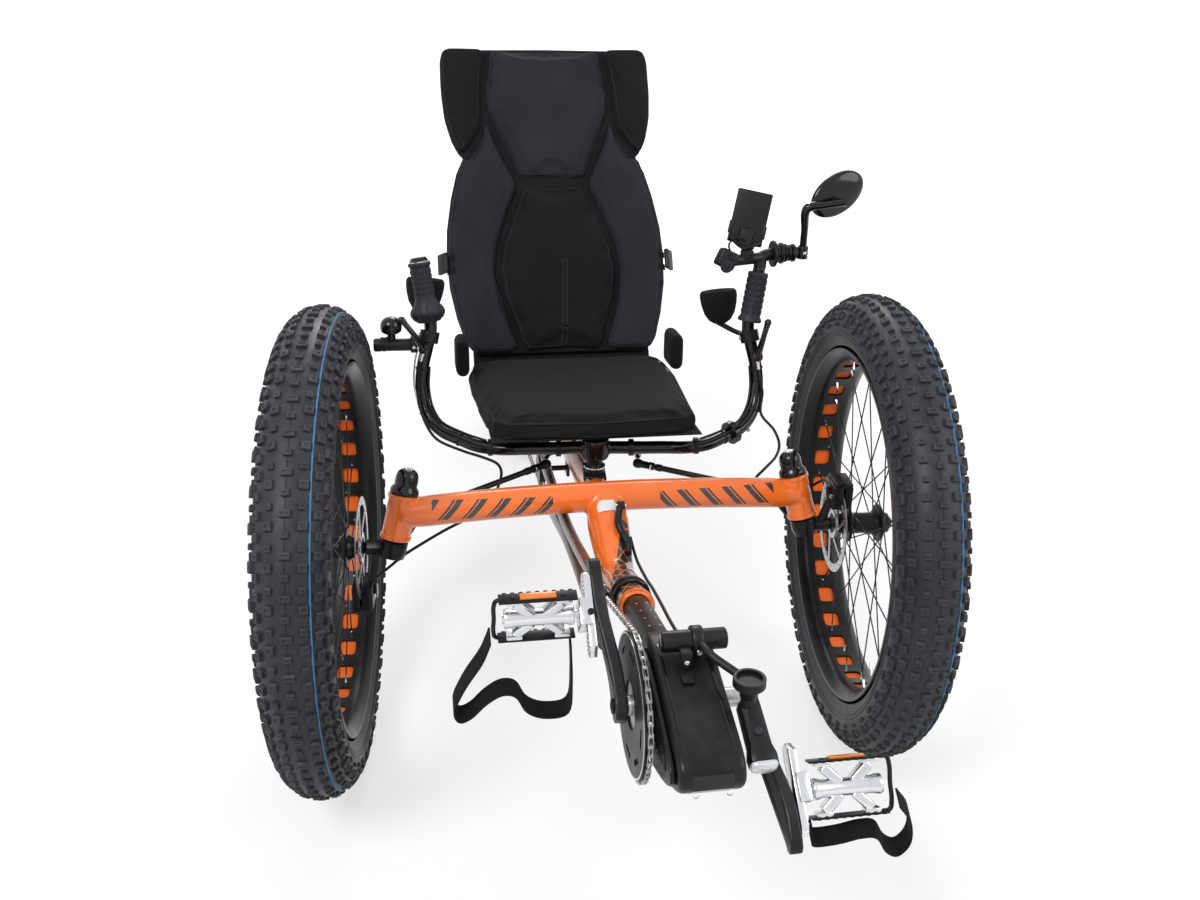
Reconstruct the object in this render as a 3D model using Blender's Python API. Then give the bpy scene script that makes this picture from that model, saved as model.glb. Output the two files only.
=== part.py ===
# Recumbent trike with fat tyres and a mid-mounted drive unit.
# Metres, +Z up, the rider faces -Y. The ground is z = 0, and before the last step
# y = 0 is the line of the front axles. Left and right are the rider's own.

import bpy
import bmesh
import math
from mathutils import Vector

# Wheels and track
WHEEL_R = 0.3755            # outer radius of the fat tyre
TYRE_R = 0.054              # radius of the tyre's round section
TYRE_WALL = 0.007
BEAD_DROP = 0.0325          # rim flange tips inside the middle of the tyre's section
RIM_R = WHEEL_R - TYRE_R - BEAD_DROP
RIM_HALF = 0.041            # half of the rim's width
RIM_DEPTH = 0.0205          # flange tip to the rim's inner face
RIM_WALL = 0.005
HUB_R = 0.018
HUB_FLANGE_R = 0.031
HUB_HALF = 0.042
SPOKE_R = 0.0017
SPOKES = 12
WHEEL_SIDES = 28            # a flat of 13 degrees keeps a free wheel from rolling
TRACK_HALF = 0.431
REAR_AXLE_Y = 1.250
ROTOR_R = 0.080
ROTOR_THICK = 0.0024
AXLE_R = 0.0095

# Steering
REST_TURN = math.radians(5.2)      # the wheels stand turned to the rider's right
KINGPIN_LEAN = math.radians(13.7)  # tops of the kingpins lean inboard
CASTER = math.radians(12.0)        # and backwards
KINGPIN_X = 0.333                  # kingpin axis at axle height
KINGPIN_Y = -0.008
KINGPIN_R = 0.0110
STEER_Y = 0.100                    # upright pivot of the handlebar
ARM_BACK = 0.055                   # ball joints behind the pivot
ARM_SIDE = 0.078
ARM_Z = 0.428
KNUCKLE_ARM_BACK = 0.057
KNUCKLE_ARM_IN = 0.019
KNUCKLE_ARM_Z = 0.400
ROD_CLEAR = 0.0115                 # rod's middle to the arm's open end, so that both can turn

# Frame
CROSS_R = 0.0245
CROSS_Z = 0.441                    # middle of the cross tube, which arches a little
CROSS_DROP = 0.014                 # ends of the cross tube hang lower by this
HEAD_R = 0.0225
HEAD_LOW_Z = 0.389
HEAD_HIGH_Z = 0.458
MAIN_R = 0.0225
MAIN_BACK_Y = 0.500
MAIN_BACK_Z = 0.365
FRONT_R = 0.0245                   # front tube that the boom slides in
FRONT_LIP_Y = -0.275
BOOM_R = 0.0190
BOOM_SLOPE = math.radians(11.3)    # the boom rises towards the drive
BOOM_BACK_Y = -0.160
BOOM_FRONT_Y = -0.468
BOOM_FRONT_Z = 0.4395
STAY_X = 0.103
STAY_R = 0.0115
YOKE_Y = 0.790
YOKE_Z = 0.352
YOKE_R = 0.018

# Drive
DRIVE_Y = -0.525                   # crank axle
DRIVE_Z = 0.421
DRIVE_X = 0.008                    # the crank axle reaches further on the left
DRIVE_LEFT = 0.046                 # left face of the drive unit
DRIVE_RIGHT = -0.032
COVER_THICK = 0.007
CRANK_AXLE_R = 0.0120
CRANK_LENGTH = 0.170
CRANK_ANGLE = math.radians(41.0)   # left crank forward and down at rest
CRANK_IN = 0.071                   # axle middle to the inner face of a crank
CRANK_FLARE = {1: 0.026, -1: 0.012}    # how far a crank's end stands further out
CRANK_THICK = 0.015
SHORT_CRANK = 0.116                # axle to pedal spindle on the shortener
SHORT_THICK = 0.009
PEDAL_GAP = 0.0145                 # shortener to pedal barrel
PEDAL_AXLE_R = 0.0055
PEDAL_WIDE = 0.085
PEDAL_HIGH = 0.065
PEDAL_TILT = {1: math.radians(62.0), -1: math.radians(104.0)}    # how the pedals hang
CHAIN_X = -0.052
CHAIN_REAR_X = -0.076
CHAIN_WIDE = 0.0066
CHAIN_HIGH = 0.0060
RING_R = 0.0895                    # chain line round the chainring
COG_R = 0.0450                     # chain line round the sprocket in use
IDLER_R = 0.0300
JOCKEY_R = 0.0200
CHAIN_CLEAR = 0.0009               # chain to the bottom of a groove
IDLER_Y = 0.330
IDLER_Z = 0.343
TUBE_OUT_R = 0.0088
TUBE_IN_R = 0.0062

# Seat
CREASE_Y = 0.470                   # where the seat's two cushions meet
CREASE_Z = 0.522
BACK_ANGLE = math.radians(58.1)
BACK_LENGTH = 0.630
BASE_SLOPE = math.radians(-3.7)
BASE_FRONT = 0.415                 # crease to the front edge along the base
CUSHION = 0.034
SLING = 0.007
SLING_HALF = 0.172
RAIL_R = 0.0100
RAIL_X = 0.160
RAIL_REACH = 0.238                 # the rails end behind the sweep of the handlebar

# Controls
BAR_R = 0.0110
GRIP_R = 0.0175
COLLAR_R = 0.0165                  # clamp under a grip
CABLE_R = 0.0024

GAP = 0.0003                       # clearance between touching pieces
RUN = 0.0004                       # radial clearance of a turning fit
WELD = 0.00003                     # corners closer than this become one

X, Y, Z = Vector((1, 0, 0)), Vector((0, 1, 0)), Vector((0, 0, 1))


# Clean start

for old in list(bpy.data.objects):
    bpy.data.objects.remove(old, do_unlink=True)


# Materials

def finish(name, colour, roughness, metallic=0.0):
    material = bpy.data.materials.new(name)
    material.use_nodes = True
    shader = material.node_tree.nodes["Principled BSDF"]
    shader.inputs["Base Color"].default_value = (*colour, 1.0)
    shader.inputs["Roughness"].default_value = roughness
    shader.inputs["Metallic"].default_value = metallic
    material.diffuse_color = (*colour, 1.0)
    return material


ORANGE = finish("orange_paint", (0.90, 0.20, 0.02), 0.30)
BLACK_PAINT = finish("black_paint", (0.02, 0.02, 0.022), 0.35)
BLACK_METAL = finish("black_anodised", (0.03, 0.03, 0.032), 0.40, 0.7)
SILVER = finish("bright_aluminium", (0.75, 0.76, 0.78), 0.28, 1.0)
STEEL = finish("chain_steel", (0.62, 0.61, 0.60), 0.30, 1.0)
RUBBER = finish("tyre_rubber", (0.06, 0.065, 0.07), 0.85)
GRIP_RUBBER = finish("grip_rubber", (0.05, 0.05, 0.06), 0.75)
PLASTIC = finish("black_plastic", (0.025, 0.025, 0.028), 0.45)
GREY_FABRIC = finish("grey_fabric", (0.075, 0.075, 0.085), 0.90)
BLACK_FABRIC = finish("black_fabric", (0.020, 0.020, 0.022), 0.92)
STRAP = finish("black_webbing", (0.012, 0.012, 0.012), 0.95)
LENS = finish("clear_lens", (0.85, 0.88, 0.92), 0.08)
TUBE_PLASTIC = finish("smoked_tube", (0.25, 0.16, 0.13), 0.35)


# Building blocks. Each makes one closed piece of mesh.

def solid(points, faces):
    mesh = bpy.data.meshes.new("piece")
    mesh.from_pydata([tuple(p) for p in points], [], faces)
    mesh.validate()
    piece = bpy.data.objects.new("piece", mesh)
    bpy.context.scene.collection.objects.link(piece)
    bpy.ops.object.select_all(action="DESELECT")
    bpy.context.view_layer.objects.active = piece
    piece.select_set(True)
    bpy.ops.object.mode_set(mode="EDIT")
    bpy.ops.mesh.select_all(action="SELECT")
    bpy.ops.mesh.normals_make_consistent(inside=False)
    bpy.ops.object.mode_set(mode="OBJECT")
    return piece


def loft(rings, closed=False):
    """Skin a row of rings that have the same number of points."""
    count = len(rings[0])
    points = [p for ring in rings for p in ring]
    faces = []
    for row in range(len(rings) if closed else len(rings) - 1):
        here, there = row * count, (row + 1) % len(rings) * count
        for k in range(count):
            nxt = (k + 1) % count
            faces.append((here + k, here + nxt, there + nxt, there + k))
    if not closed:
        faces.append(tuple(range(count)))
        faces.append(tuple(range(len(points) - count, len(points))))
    return solid(points, faces)


def square_to(axis):
    """Two unit vectors square to an axis and to each other."""
    axis = Vector(axis).normalized()
    helper = Z if abs(axis.z) < 0.9 else Y
    first = axis.cross(helper).normalized()
    return first, axis.cross(first).normalized()


def circle(centre, first, second, radius, sides, turn=0.0):
    ring = []
    for k in range(sides):
        a = turn + 2 * math.pi * k / sides
        ring.append(centre + radius * (math.cos(a) * first + math.sin(a) * second))
    return ring


def rod(path, radius, sides=10):
    """A round bar along a path; radius is one value or one for each point."""
    path = [Vector(p) for p in path]
    radii = radius if isinstance(radius, (list, tuple)) else [radius] * len(path)
    rings = []
    first = None
    for k, point in enumerate(path):
        before = path[max(k - 1, 0)]
        after = path[min(k + 1, len(path) - 1)]
        along = (after - before).normalized()
        if first is None:
            first, second = square_to(along)
        else:
            first = (first - along * first.dot(along)).normalized()
            second = along.cross(first)
        rings.append(circle(point, first, second, radii[k], sides, math.pi / sides))
    return loft(rings)


def smooth_path(corners, steps=4):
    """Points of a curve through the corners, closer together than they are."""
    corners = [Vector(c) for c in corners]
    ends = [corners[0] * 2 - corners[1]] + corners + [corners[-1] * 2 - corners[-2]]
    points = []
    for k in range(1, len(ends) - 2):
        a, b, c, d = ends[k - 1:k + 3]
        for step in range(steps):
            t = step / steps
            points.append(0.5 * (2 * b + (c - a) * t + (2 * a - 5 * b + 4 * c - d) * t * t
                                 + (3 * b - a - 3 * c + d) * t ** 3))
    points.append(corners[-1])
    return points


def turned(profile, centre, axis, sides=16, ring=False, phase=0.5):
    """A turned piece. The profile is (radius, distance along the axis)."""
    centre, axis = Vector(centre), Vector(axis).normalized()
    first, second = square_to(axis)
    rings = [circle(centre + axis * along, first, second, r, sides, phase * 2 * math.pi / sides)
             for r, along in profile]
    return loft(rings, closed=ring)


def wheel_ring(profile, centre, axis, sides=WHEEL_SIDES):
    """A turned ring with a flat at its lowest point; radii reach to the flats."""
    centre, axis = Vector(centre), Vector(axis).normalized()
    first = Z
    second = axis.cross(first).normalized()
    grow = 1 / math.cos(math.pi / sides)
    rings = [circle(centre + axis * along, first, second, r * grow, sides, math.pi / sides)
             for r, along in profile]
    return loft(rings, closed=True)


def prism(outline, origin, across, up, depth, centred=True):
    """An outline in the plane of two directions, given a depth square to it."""
    across, up = Vector(across).normalized(), Vector(up).normalized()
    through = across.cross(up).normalized()
    start = Vector(origin) - through * (depth / 2 if centred else 0)
    low = [start + across * a + up * b for a, b in outline]
    return loft([low, [p + through * depth for p in low]])


def rounded(width, height, corner, steps=2):
    """A rectangle about the origin with round corners."""
    outline = []
    for quarter, (sx, sy) in enumerate(((1, 1), (-1, 1), (-1, -1), (1, -1))):
        for step in range(steps + 1):
            a = math.pi / 2 * (quarter + step / steps)
            outline.append((sx * (width / 2 - corner) + corner * math.cos(a),
                            sy * (height / 2 - corner) + corner * math.sin(a)))
    return outline


def box(centre, size, across=X, up=Z, corner=0.0):
    outline = (rounded(size[0], size[2], corner) if corner else
               [(-size[0] / 2, -size[2] / 2), (size[0] / 2, -size[2] / 2),
                (size[0] / 2, size[2] / 2), (-size[0] / 2, size[2] / 2)])
    return prism(outline, centre, across, up, size[1])


def inset(outline, by):
    """Draw an outline in by a distance, corner by corner."""
    area = sum(a[0] * b[1] - b[0] * a[1] for a, b in zip(outline, outline[1:] + outline[:1]))
    side = 1 if area > 0 else -1
    drawn = []
    for k, (x, y) in enumerate(outline):
        before, after = outline[k - 1], outline[(k + 1) % len(outline)]
        one = Vector((x - before[0], y - before[1])).normalized()
        two = Vector((after[0] - x, after[1] - y)).normalized()
        normal = Vector((-(one.y + two.y), one.x + two.x))
        normal = normal.normalized() * side if normal.length > 1e-6 else Vector((0, 0))
        drawn.append((x + normal.x * by, y + normal.y * by))
    return drawn


def pad(outline, origin, across, up, thick):
    """A stuffed pad: flat underneath, drawn in at the sides, crowned on top."""
    across, up = Vector(across).normalized(), Vector(up).normalized()
    out = across.cross(up).normalized()
    rings = []
    for by, height in ((0.005, 0.0), (0.0, 0.30), (0.001, 0.62), (0.008, 0.88), (0.022, 1.0)):
        rings.append([Vector(origin) + across * a + up * b + out * thick * height
                      for a, b in inset(outline, by)])
    return loft(rings)


def mirrored(outline):
    """The outline's right half, closed with its mirror image."""
    return outline + [(-x, y) for x, y in reversed(outline) if abs(x) > 1e-6]


def combine(target, piece, operation):
    modifier = target.modifiers.new("cut", "BOOLEAN")
    modifier.operation = operation
    modifier.solver = "EXACT"
    modifier.object = piece
    bpy.ops.object.select_all(action="DESELECT")
    bpy.context.view_layer.objects.active = target
    bpy.ops.object.modifier_apply(modifier=modifier.name)
    bpy.data.objects.remove(piece, do_unlink=True)


trike = bpy.data.objects.new("trike", None)
bpy.context.scene.collection.objects.link(trike)
pivots = {}


def node(name, material, parts, cuts=(), pivot=(0, 0, 0), carried_by=None, sharp=35.0):
    """Join parts, take the cuts away, and hang the piece at its pivot."""
    body = parts[0]
    for other in parts[1:]:
        combine(body, other, "UNION")
    for cutter in cuts:
        combine(body, cutter, "DIFFERENCE")
    clean = bmesh.new()
    clean.from_mesh(body.data)
    bmesh.ops.remove_doubles(clean, verts=clean.verts, dist=WELD)
    bmesh.ops.dissolve_degenerate(clean, edges=clean.edges, dist=WELD)
    clean.to_mesh(body.data)
    clean.free()
    pivot = Vector(pivot)
    for vertex in body.data.vertices:
        vertex.co -= pivot
    body.name = body.data.name = name
    body.data.materials.clear()
    body.data.materials.append(material)
    body.data.shade_smooth()
    body.data.set_sharp_from_angle(angle=math.radians(sharp))
    body.parent = carried_by or trike
    body.location = pivot - pivots.get(body.parent.name, Vector())
    pivots[name] = pivot
    return body


# Places worked out from the sizes

def kingpin(side, z):
    rise = z - WHEEL_R
    return Vector((side * (KINGPIN_X - rise * math.tan(KINGPIN_LEAN)),
                   KINGPIN_Y + rise * math.tan(CASTER), z))


def kingpin_axis(side):
    return (kingpin(side, 1.0) - kingpin(side, 0.0)).normalized()


def turn_right(vector):
    """Turn a vector by the resting steering angle, clockwise seen from above."""
    c, s = math.cos(REST_TURN), math.sin(REST_TURN)
    x, y, z = vector
    return Vector((x * c + y * s, y * c - x * s, z))


def steered(x, y, z):
    """A place on the handlebar, given as if it pointed straight ahead."""
    pivot = Vector((0, STEER_Y, 0))
    return turn_right(Vector((x, y, z)) - pivot) + pivot


WHEEL_AXIS = turn_right(X)
HUB_OUT = TRACK_HALF - KINGPIN_X


def wheel_centre(side):
    return kingpin(side, WHEEL_R) + WHEEL_AXIS * side * HUB_OUT


def boom_point(y):
    return Vector((0, y, BOOM_FRONT_Z + (BOOM_FRONT_Y - y) * math.tan(BOOM_SLOPE)))


BOOM_AXIS = (boom_point(BOOM_FRONT_Y) - boom_point(BOOM_BACK_Y)).normalized()
REAR_HUB = Vector((0, REAR_AXLE_Y, WHEEL_R))
CRANK_AXLE = Vector((0, DRIVE_Y, DRIVE_Z))
SIDES = (("left", 1), ("right", -1))


# Frame

MAIN_BEND = Vector((0, 0.150, 0.397))


def cross_z(x):
    return CROSS_Z - CROSS_DROP * (x / KINGPIN_X) ** 2


def front_frame():
    ends = 0.318
    cross = rod([(ends * k / 4, 0, cross_z(ends * k / 4)) for k in range(-4, 5)],
                [CROSS_R * (0.86 if abs(k) == 4 else 1.0) for k in range(-4, 5)], 12)
    front = rod([(0, 0, CROSS_Z - 0.006), (0, -0.040, 0.409), (0, -0.082, 0.386),
                 boom_point(-0.125), boom_point(-0.185), boom_point(FRONT_LIP_Y)],
                [0.030, 0.034, 0.030, FRONT_R + 0.0015, FRONT_R, FRONT_R], 12)
    back = rod([(0, 0, CROSS_Z - 0.004), (0, 0.060, 0.418), MAIN_BEND,
                (0, MAIN_BACK_Y, MAIN_BACK_Z)], MAIN_R, 12)
    tubes = [cross, front, back]
    cuts = [rod([boom_point(BOOM_BACK_Y + 0.012), boom_point(FRONT_LIP_Y - 0.05)],
                BOOM_R + GAP / math.cos(math.pi / 12), 12)]
    for _, side in SIDES:
        axis = kingpin_axis(side)
        tubes.append(turned([(HEAD_R, 0), (HEAD_R, (HEAD_HIGH_Z - HEAD_LOW_Z) / axis.z)],
                            kingpin(side, HEAD_LOW_Z), axis, 12))
        cuts.append(rod([kingpin(side, HEAD_LOW_Z - 0.05), kingpin(side, HEAD_HIGH_Z + 0.05)],
                        (KINGPIN_R + RUN) / math.cos(math.pi / 10), 10))
    idler = Vector((0, IDLER_Y, IDLER_Z))
    tubes.append(box(idler + Vector((-0.012, 0, 0.012)), (0.006, 0.024, 0.052)))
    tubes.append(rod([idler + X * -0.010, idler + X * (chain_x(IDLER_Y) - 0.006)], 0.005, 10))
    for clip_z, clear in ((0.3775, GAP), (0.3245, 0.0026)):
        tubes.append(rod([(-0.010, TUBE_CLIP_Y, 0.383),
                          (chain_x(TUBE_CLIP_Y) + TUBE_OUT_R + clear, TUBE_CLIP_Y, clip_z)],
                         0.0040, 8))
    return node("front_frame", ORANGE, tubes, cuts)


def rear_frame():
    end = Vector((0, MAIN_BACK_Y, MAIN_BACK_Z))
    way = (end - MAIN_BEND).normalized()
    parts = [rod([end + way * GAP, end + way * 0.060, (0, YOKE_Y, YOKE_Z)], MAIN_R, 12),
             rod([(-STAY_X + 0.002, YOKE_Y, YOKE_Z), (STAY_X - 0.002, YOKE_Y, YOKE_Z)], YOKE_R, 12)]
    for _, side in SIDES:
        parts.append(rod([(side * (STAY_X - 0.006), YOKE_Y - 0.004, YOKE_Z),
                          (side * STAY_X, 0.900, YOKE_Z + 0.002),
                          (side * STAY_X, REAR_AXLE_Y, WHEEL_R)],
                         [0.0165, STAY_R + 0.003, STAY_R], 10))
        parts.append(box((side * STAY_X, REAR_AXLE_Y + 0.012, WHEEL_R), (0.009, 0.062, 0.046)))
    parts.append(rod([(-STAY_X, REAR_AXLE_Y, WHEEL_R), (STAY_X, REAR_AXLE_Y, WHEEL_R)], 0.0070, 12))
    hanger = Vector((CHAIN_REAR_X - 0.016, REAR_AXLE_Y + 0.018, WHEEL_R - 0.034))
    parts.append(box(hanger + X * -0.0045, (0.014, 0.020, 0.030)))
    return node("rear_frame", ORANGE, parts)


def steering_post():
    """The upright bearing behind the cross tube that carries the handlebar."""
    top = 0.4640
    base = Vector((0, STEER_Y, 0))
    parts = [turned([(0.0165, 0.424), (0.0165, 0.450), (0.0130, 0.451), (0.0130, top)],
                    base, Z, 14),
             box((0, STEER_Y, 0.433), (0.040, 0.046, 0.012), corner=0.003)]
    cuts = [rod([(0, 0, CROSS_Z - 0.004), (0, 0.060, 0.418), MAIN_BEND,
                 (0, MAIN_BACK_Y, MAIN_BACK_Z)], MAIN_R + GAP, 12)]
    return node("steering_post", BLACK_METAL, parts, cuts)


def kingpin_cap(name, side):
    start, axis = kingpin(side, HEAD_HIGH_Z), kingpin_axis(side)
    shell = turned([(0.0205, GAP), (0.0225, 0.004), (0.0210, 0.009), (0.0180, 0.012),
                    (0.0175, 0.027), (0.0155, 0.034), (0.0090, 0.0395)], start, axis, 12)
    bore = rod([start - axis * 0.02, start + axis * 0.026],
               (KINGPIN_R + RUN) / math.cos(math.pi / 10), 10)
    return node("kingpin_cap_" + name, BLACK_METAL, [shell], [bore])


def knuckle(name, side):
    """Kingpin, stub axle, steering arm and brake caliper of a front wheel."""
    pin, axis = kingpin(side, WHEEL_R), kingpin_axis(side)
    out = WHEEL_AXIS * side
    back = turn_right(Y)
    parts = [rod([pin - axis * 0.010, kingpin(side, HEAD_HIGH_Z) + axis * 0.018], KINGPIN_R, 10),
             turned([(0.0190, -0.016), (0.0215, -0.006), (0.0215, 0.0105)],
                    kingpin(side, WHEEL_R), axis, 10),
             rod([pin, pin + out * 0.040], 0.0125, 8),
             rod([pin + out * 0.030, pin + out * (HUB_OUT + HUB_HALF + 0.004)], AXLE_R, 10)]
    tip = kingpin(side, KNUCKLE_ARM_Z) + turn_right((-side * KNUCKLE_ARM_IN, KNUCKLE_ARM_BACK, 0))
    parts.append(rod([pin + back * 0.008 + Z * -0.002, pin + back * 0.038 + Z * -0.006 - out * 0.012,
                      Vector((tip.x, tip.y, KNUCKLE_ARM_Z - 0.021))], [0.010, 0.007, 0.006], 8))
    parts.append(turned([(0.007, -0.0215), (0.007, -ROD_CLEAR)], tip, Z, 8))
    plane = HUB_OUT - HUB_HALF - 0.007
    lift = Vector((0, 0, 0.066)) * (1 if side > 0 else -1)
    middle = pin + out * plane - back * 0.020 + lift
    parts.append(box(middle - out * 0.0100, (0.0156, 0.050, 0.038), out, Z))
    parts.append(box(middle + out * 0.0078, (0.0112, 0.050, 0.036), out, Z))
    outwards = Z if side > 0 else -Z
    parts.append(box(middle + outwards * 0.0200 - out * 0.001, (0.0280, 0.046, 0.0075), out, Z))
    parts.append(rod([pin + out * 0.026, pin + out * 0.031 + lift * 0.5 - back * 0.012,
                      middle - out * 0.012], 0.0070, 6))
    return node("knuckle_" + name, BLACK_METAL, parts, pivot=pin)


# Wheels

def rim_and_hub(name, centre, axis, half_hub, rotor_at, axle_r, flange_at):
    """Rim, spokes, hub and brake disc of one wheel."""
    inner = RIM_R - RIM_DEPTH
    rim = wheel_ring([(RIM_R, -RIM_HALF), (inner, -0.027), (inner, 0.027), (RIM_R, RIM_HALF),
                      (inner + RIM_WALL, 0.021), (inner + RIM_WALL, -0.021)], centre, axis)
    profile = [(HUB_R, -half_hub), (HUB_FLANGE_R, -flange_at), (HUB_R, 0.010 - flange_at),
               (HUB_R, flange_at - 0.010), (HUB_FLANGE_R, flange_at), (HUB_R, half_hub)]
    parts = [rim, turned(profile, centre, axis, 12)]
    if rotor_at:
        parts.append(turned([(ROTOR_R, rotor_at - ROTOR_THICK / 2),
                             (ROTOR_R, rotor_at + ROTOR_THICK / 2)], centre, axis, 18))
        neck = math.copysign(half_hub - 0.002, rotor_at)
        parts.append(turned([(0.024, min(neck, rotor_at)), (0.024, max(neck, rotor_at))],
                            centre, axis, 10))
    first, second = Z, axis.cross(Z).normalized()
    for k in range(SPOKES):
        at = 2 * math.pi * (k + 0.5) / SPOKES
        lean = math.radians(26.0) * (1 if k % 4 < 2 else -1)
        side = 1 if k % 2 else -1
        low = centre + axis * side * (flange_at - 0.004) + (HUB_FLANGE_R - 0.008) * (
            math.cos(at + lean) * first + math.sin(at + lean) * second)
        high = centre + axis * side * 0.010 + (inner + RIM_WALL / 2) * (
            math.cos(at) * first + math.sin(at) * second)
        parts.append(rod([low, high], SPOKE_R, 4))
    long_bore = half_hub + 0.05
    bore = rod([centre - axis * long_bore, centre + axis * long_bore],
               (axle_r + RUN) / math.cos(math.pi / 10), 10)
    return node(name, BLACK_METAL, parts, [bore], pivot=centre)


def tyre(name, centre, axis):
    middle = WHEEL_R - TYRE_R
    reach = math.acos((RIM_R + GAP - middle) / TYRE_R)
    profile = []
    for k in range(7):
        a = reach * (k / 3 - 1)
        profile.append((middle + TYRE_R * math.cos(a), TYRE_R * math.sin(a)))
    profile.append((RIM_R + GAP, RIM_HALF - 0.008))
    inside = TYRE_R - TYRE_WALL
    for k in range(3):
        a = reach * 0.55 * (1 - k)
        profile.append((middle + inside * math.cos(a), inside * math.sin(a)))
    profile.append((RIM_R + GAP, 0.008 - RIM_HALF))
    return node(name, RUBBER, [wheel_ring(profile, centre, axis)], pivot=centre)


# Boom and drive

def boom():
    front = boom_point(BOOM_FRONT_Y)
    parts = [rod([boom_point(BOOM_BACK_Y), front], BOOM_R, 12)]
    for side in (-1, 1):
        parts.append(box(front + Vector((side * 0.021, -0.009, -0.003)), (0.010, 0.050, 0.042)))
    parts.append(box(front + Vector((0, 0.006, -0.002)), (0.044, 0.014, 0.038)))
    return node("boom", BLACK_PAINT, parts, pivot=front)


def boom_clamp():
    """Split collar on the lip of the front tube, with its bolted ears underneath."""
    at = boom_point(FRONT_LIP_Y + 0.034)
    outer = FRONT_R + 0.0040
    inner = FRONT_R + GAP / math.cos(math.pi / 12)
    ring = rod([at, at - BOOM_AXIS * 0.022], outer, 12)
    ears = box(at - BOOM_AXIS * 0.011 - Z * 0.033, (0.016, 0.018, 0.018))
    bore = rod([at + BOOM_AXIS * 0.03, at - BOOM_AXIS * 0.06], inner, 12)
    slot = box(at - BOOM_AXIS * 0.011 - Z * 0.038, (0.0022, 0.060, 0.036))
    return node("boom_clamp", ORANGE, [ring, ears], [bore, slot])


LEVER_HINGE = Vector((0.0172, -0.0480, 0.4468))


def boom_lever():
    """Cam lever that lies along the top of the front tube and tightens the boom."""
    path = [LEVER_HINGE + Vector((0, 0.004, 0.001)), (0.0085, -0.0800, 0.4314),
            (0.0190, -0.1000, 0.4109), (0.0165, -0.1220, 0.4019)]
    parts = [rod(path, [0.0058, 0.0055, 0.0062, 0.0048], 8)]
    return node("boom_lever", BLACK_METAL, parts, pivot=LEVER_HINGE)


def drive_unit():
    """Rounded motor housing, nose down, with its axle hole."""
    outline = [(-0.452, 0.469), (-0.470, 0.483), (-0.505, 0.4825), (-0.560, 0.4675),
               (-0.615, 0.4530), (-0.655, 0.440), (-0.669, 0.427), (-0.670, 0.408),
               (-0.652, 0.391), (-0.600, 0.368), (-0.540, 0.350), (-0.490, 0.352),
               (-0.458, 0.385), (-0.446, 0.430)]
    rings = []
    for edge, into in ((DRIVE_RIGHT, 1), (DRIVE_LEFT, -1)):
        faces = [[Vector((edge + into * deep, y, z)) for y, z in inset(outline, by)]
                 for deep, by in ((0.0, 0.009), (0.004, 0.003), (0.012, 0.0))]
        rings += faces if into > 0 else faces[::-1]
    shell = loft(rings)
    hole = rod([CRANK_AXLE - X * 0.1, CRANK_AXLE + X * 0.1],
               (CRANK_AXLE_R + RUN) / math.cos(math.pi / 14), 14)
    front = boom_point(BOOM_FRONT_Y)
    socket = box(front + Vector((0, 0.0225, -0.003)), (0.0526, 0.114, 0.0426))
    return node("drive_unit", PLASTIC, [shell], [hole, socket], pivot=CRANK_AXLE, carried_by=BOOM)


def drive_cover():
    """Vented cover on the chain side of the drive unit."""
    outline = [(-0.470, 0.462), (-0.520, 0.470), (-0.610, 0.443), (-0.652, 0.426),
               (-0.655, 0.404), (-0.600, 0.378), (-0.530, 0.362), (-0.470, 0.392)]
    plate = prism(outline, (DRIVE_RIGHT - GAP - COVER_THICK / 2, 0, 0), Y, Z, COVER_THICK)
    hole = rod([CRANK_AXLE - X * 0.1, CRANK_AXLE + X * 0.1], 0.018, 14)
    return node("drive_cover", PLASTIC, [plate], [hole], pivot=CRANK_AXLE, carried_by=BOOM)


BAR_AT = Vector((0.017, -0.516, 0.4995))
BAR_LENGTH = 0.078
BAR_OUT_R = 0.0128
STRAP_R = 0.0172


def accessory_bar():
    """Short cross tube on a bent strip that is bolted to the drive unit."""
    parts = [rod([BAR_AT - X * BAR_LENGTH / 2, BAR_AT + X * BAR_LENGTH / 2], BAR_OUT_R, 14)]
    tilt = math.radians(16.2)
    parts.append(box(BAR_AT + Vector((-0.014, -0.018, -0.002)), (0.014, 0.016, 0.005)))
    parts.append(box(BAR_AT + Vector((-0.014, -0.0260, -0.0115)), (0.014, 0.003, 0.023)))
    parts.append(box(Vector((0.003, -0.5500, 0.4730)), (0.014, 0.022, 0.0035),
                     X, Vector((0, -math.sin(tilt), math.cos(tilt)))))
    return node("accessory_bar", BLACK_METAL, parts, pivot=BAR_AT, carried_by=BOOM)


CRADLE = Vector((0.064, -0.592, 0.489))


def lamp_mount():
    """Arm that runs out in front from a strap on the accessory bar to a round cradle."""
    strap = Vector((0.020, BAR_AT.y, BAR_AT.z))
    parts = [turned([(STRAP_R, -0.0065), (STRAP_R, 0.0065)], strap, X, 14),
             rod([strap + Vector((0.002, -0.0165, 0.004)), strap + Vector((0.010, -0.038, 0.001)),
                  CRADLE + Vector((-0.009, 0.0155, 0.0))], [0.0060, 0.0050, 0.0050], 8),
             turned([(0.0190, -0.0055), (0.0190, 0.0055)], CRADLE, Z, 16),
             turned([(0.0100, -0.0200), (0.0100, -0.0050)], CRADLE, Z, 12)]
    bore = rod([strap - X * 0.03, strap + X * 0.03],
               (BAR_OUT_R + RUN) / math.cos(math.pi / 14), 14)
    dish = turned([(0.0150, 0.0005), (0.0150, 0.02)], CRADLE, Z, 14)
    return node("lamp_mount", BLACK_METAL, parts, [bore, dish], pivot=BAR_AT, carried_by=BOOM)


LAMP_BACK = CRADLE + Vector((0.003, 0.012, -0.0365))
LAMP_AIM = Vector((0.020, -0.90, -0.42)).normalized()
LAMP_LENGTH = 0.078


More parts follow.
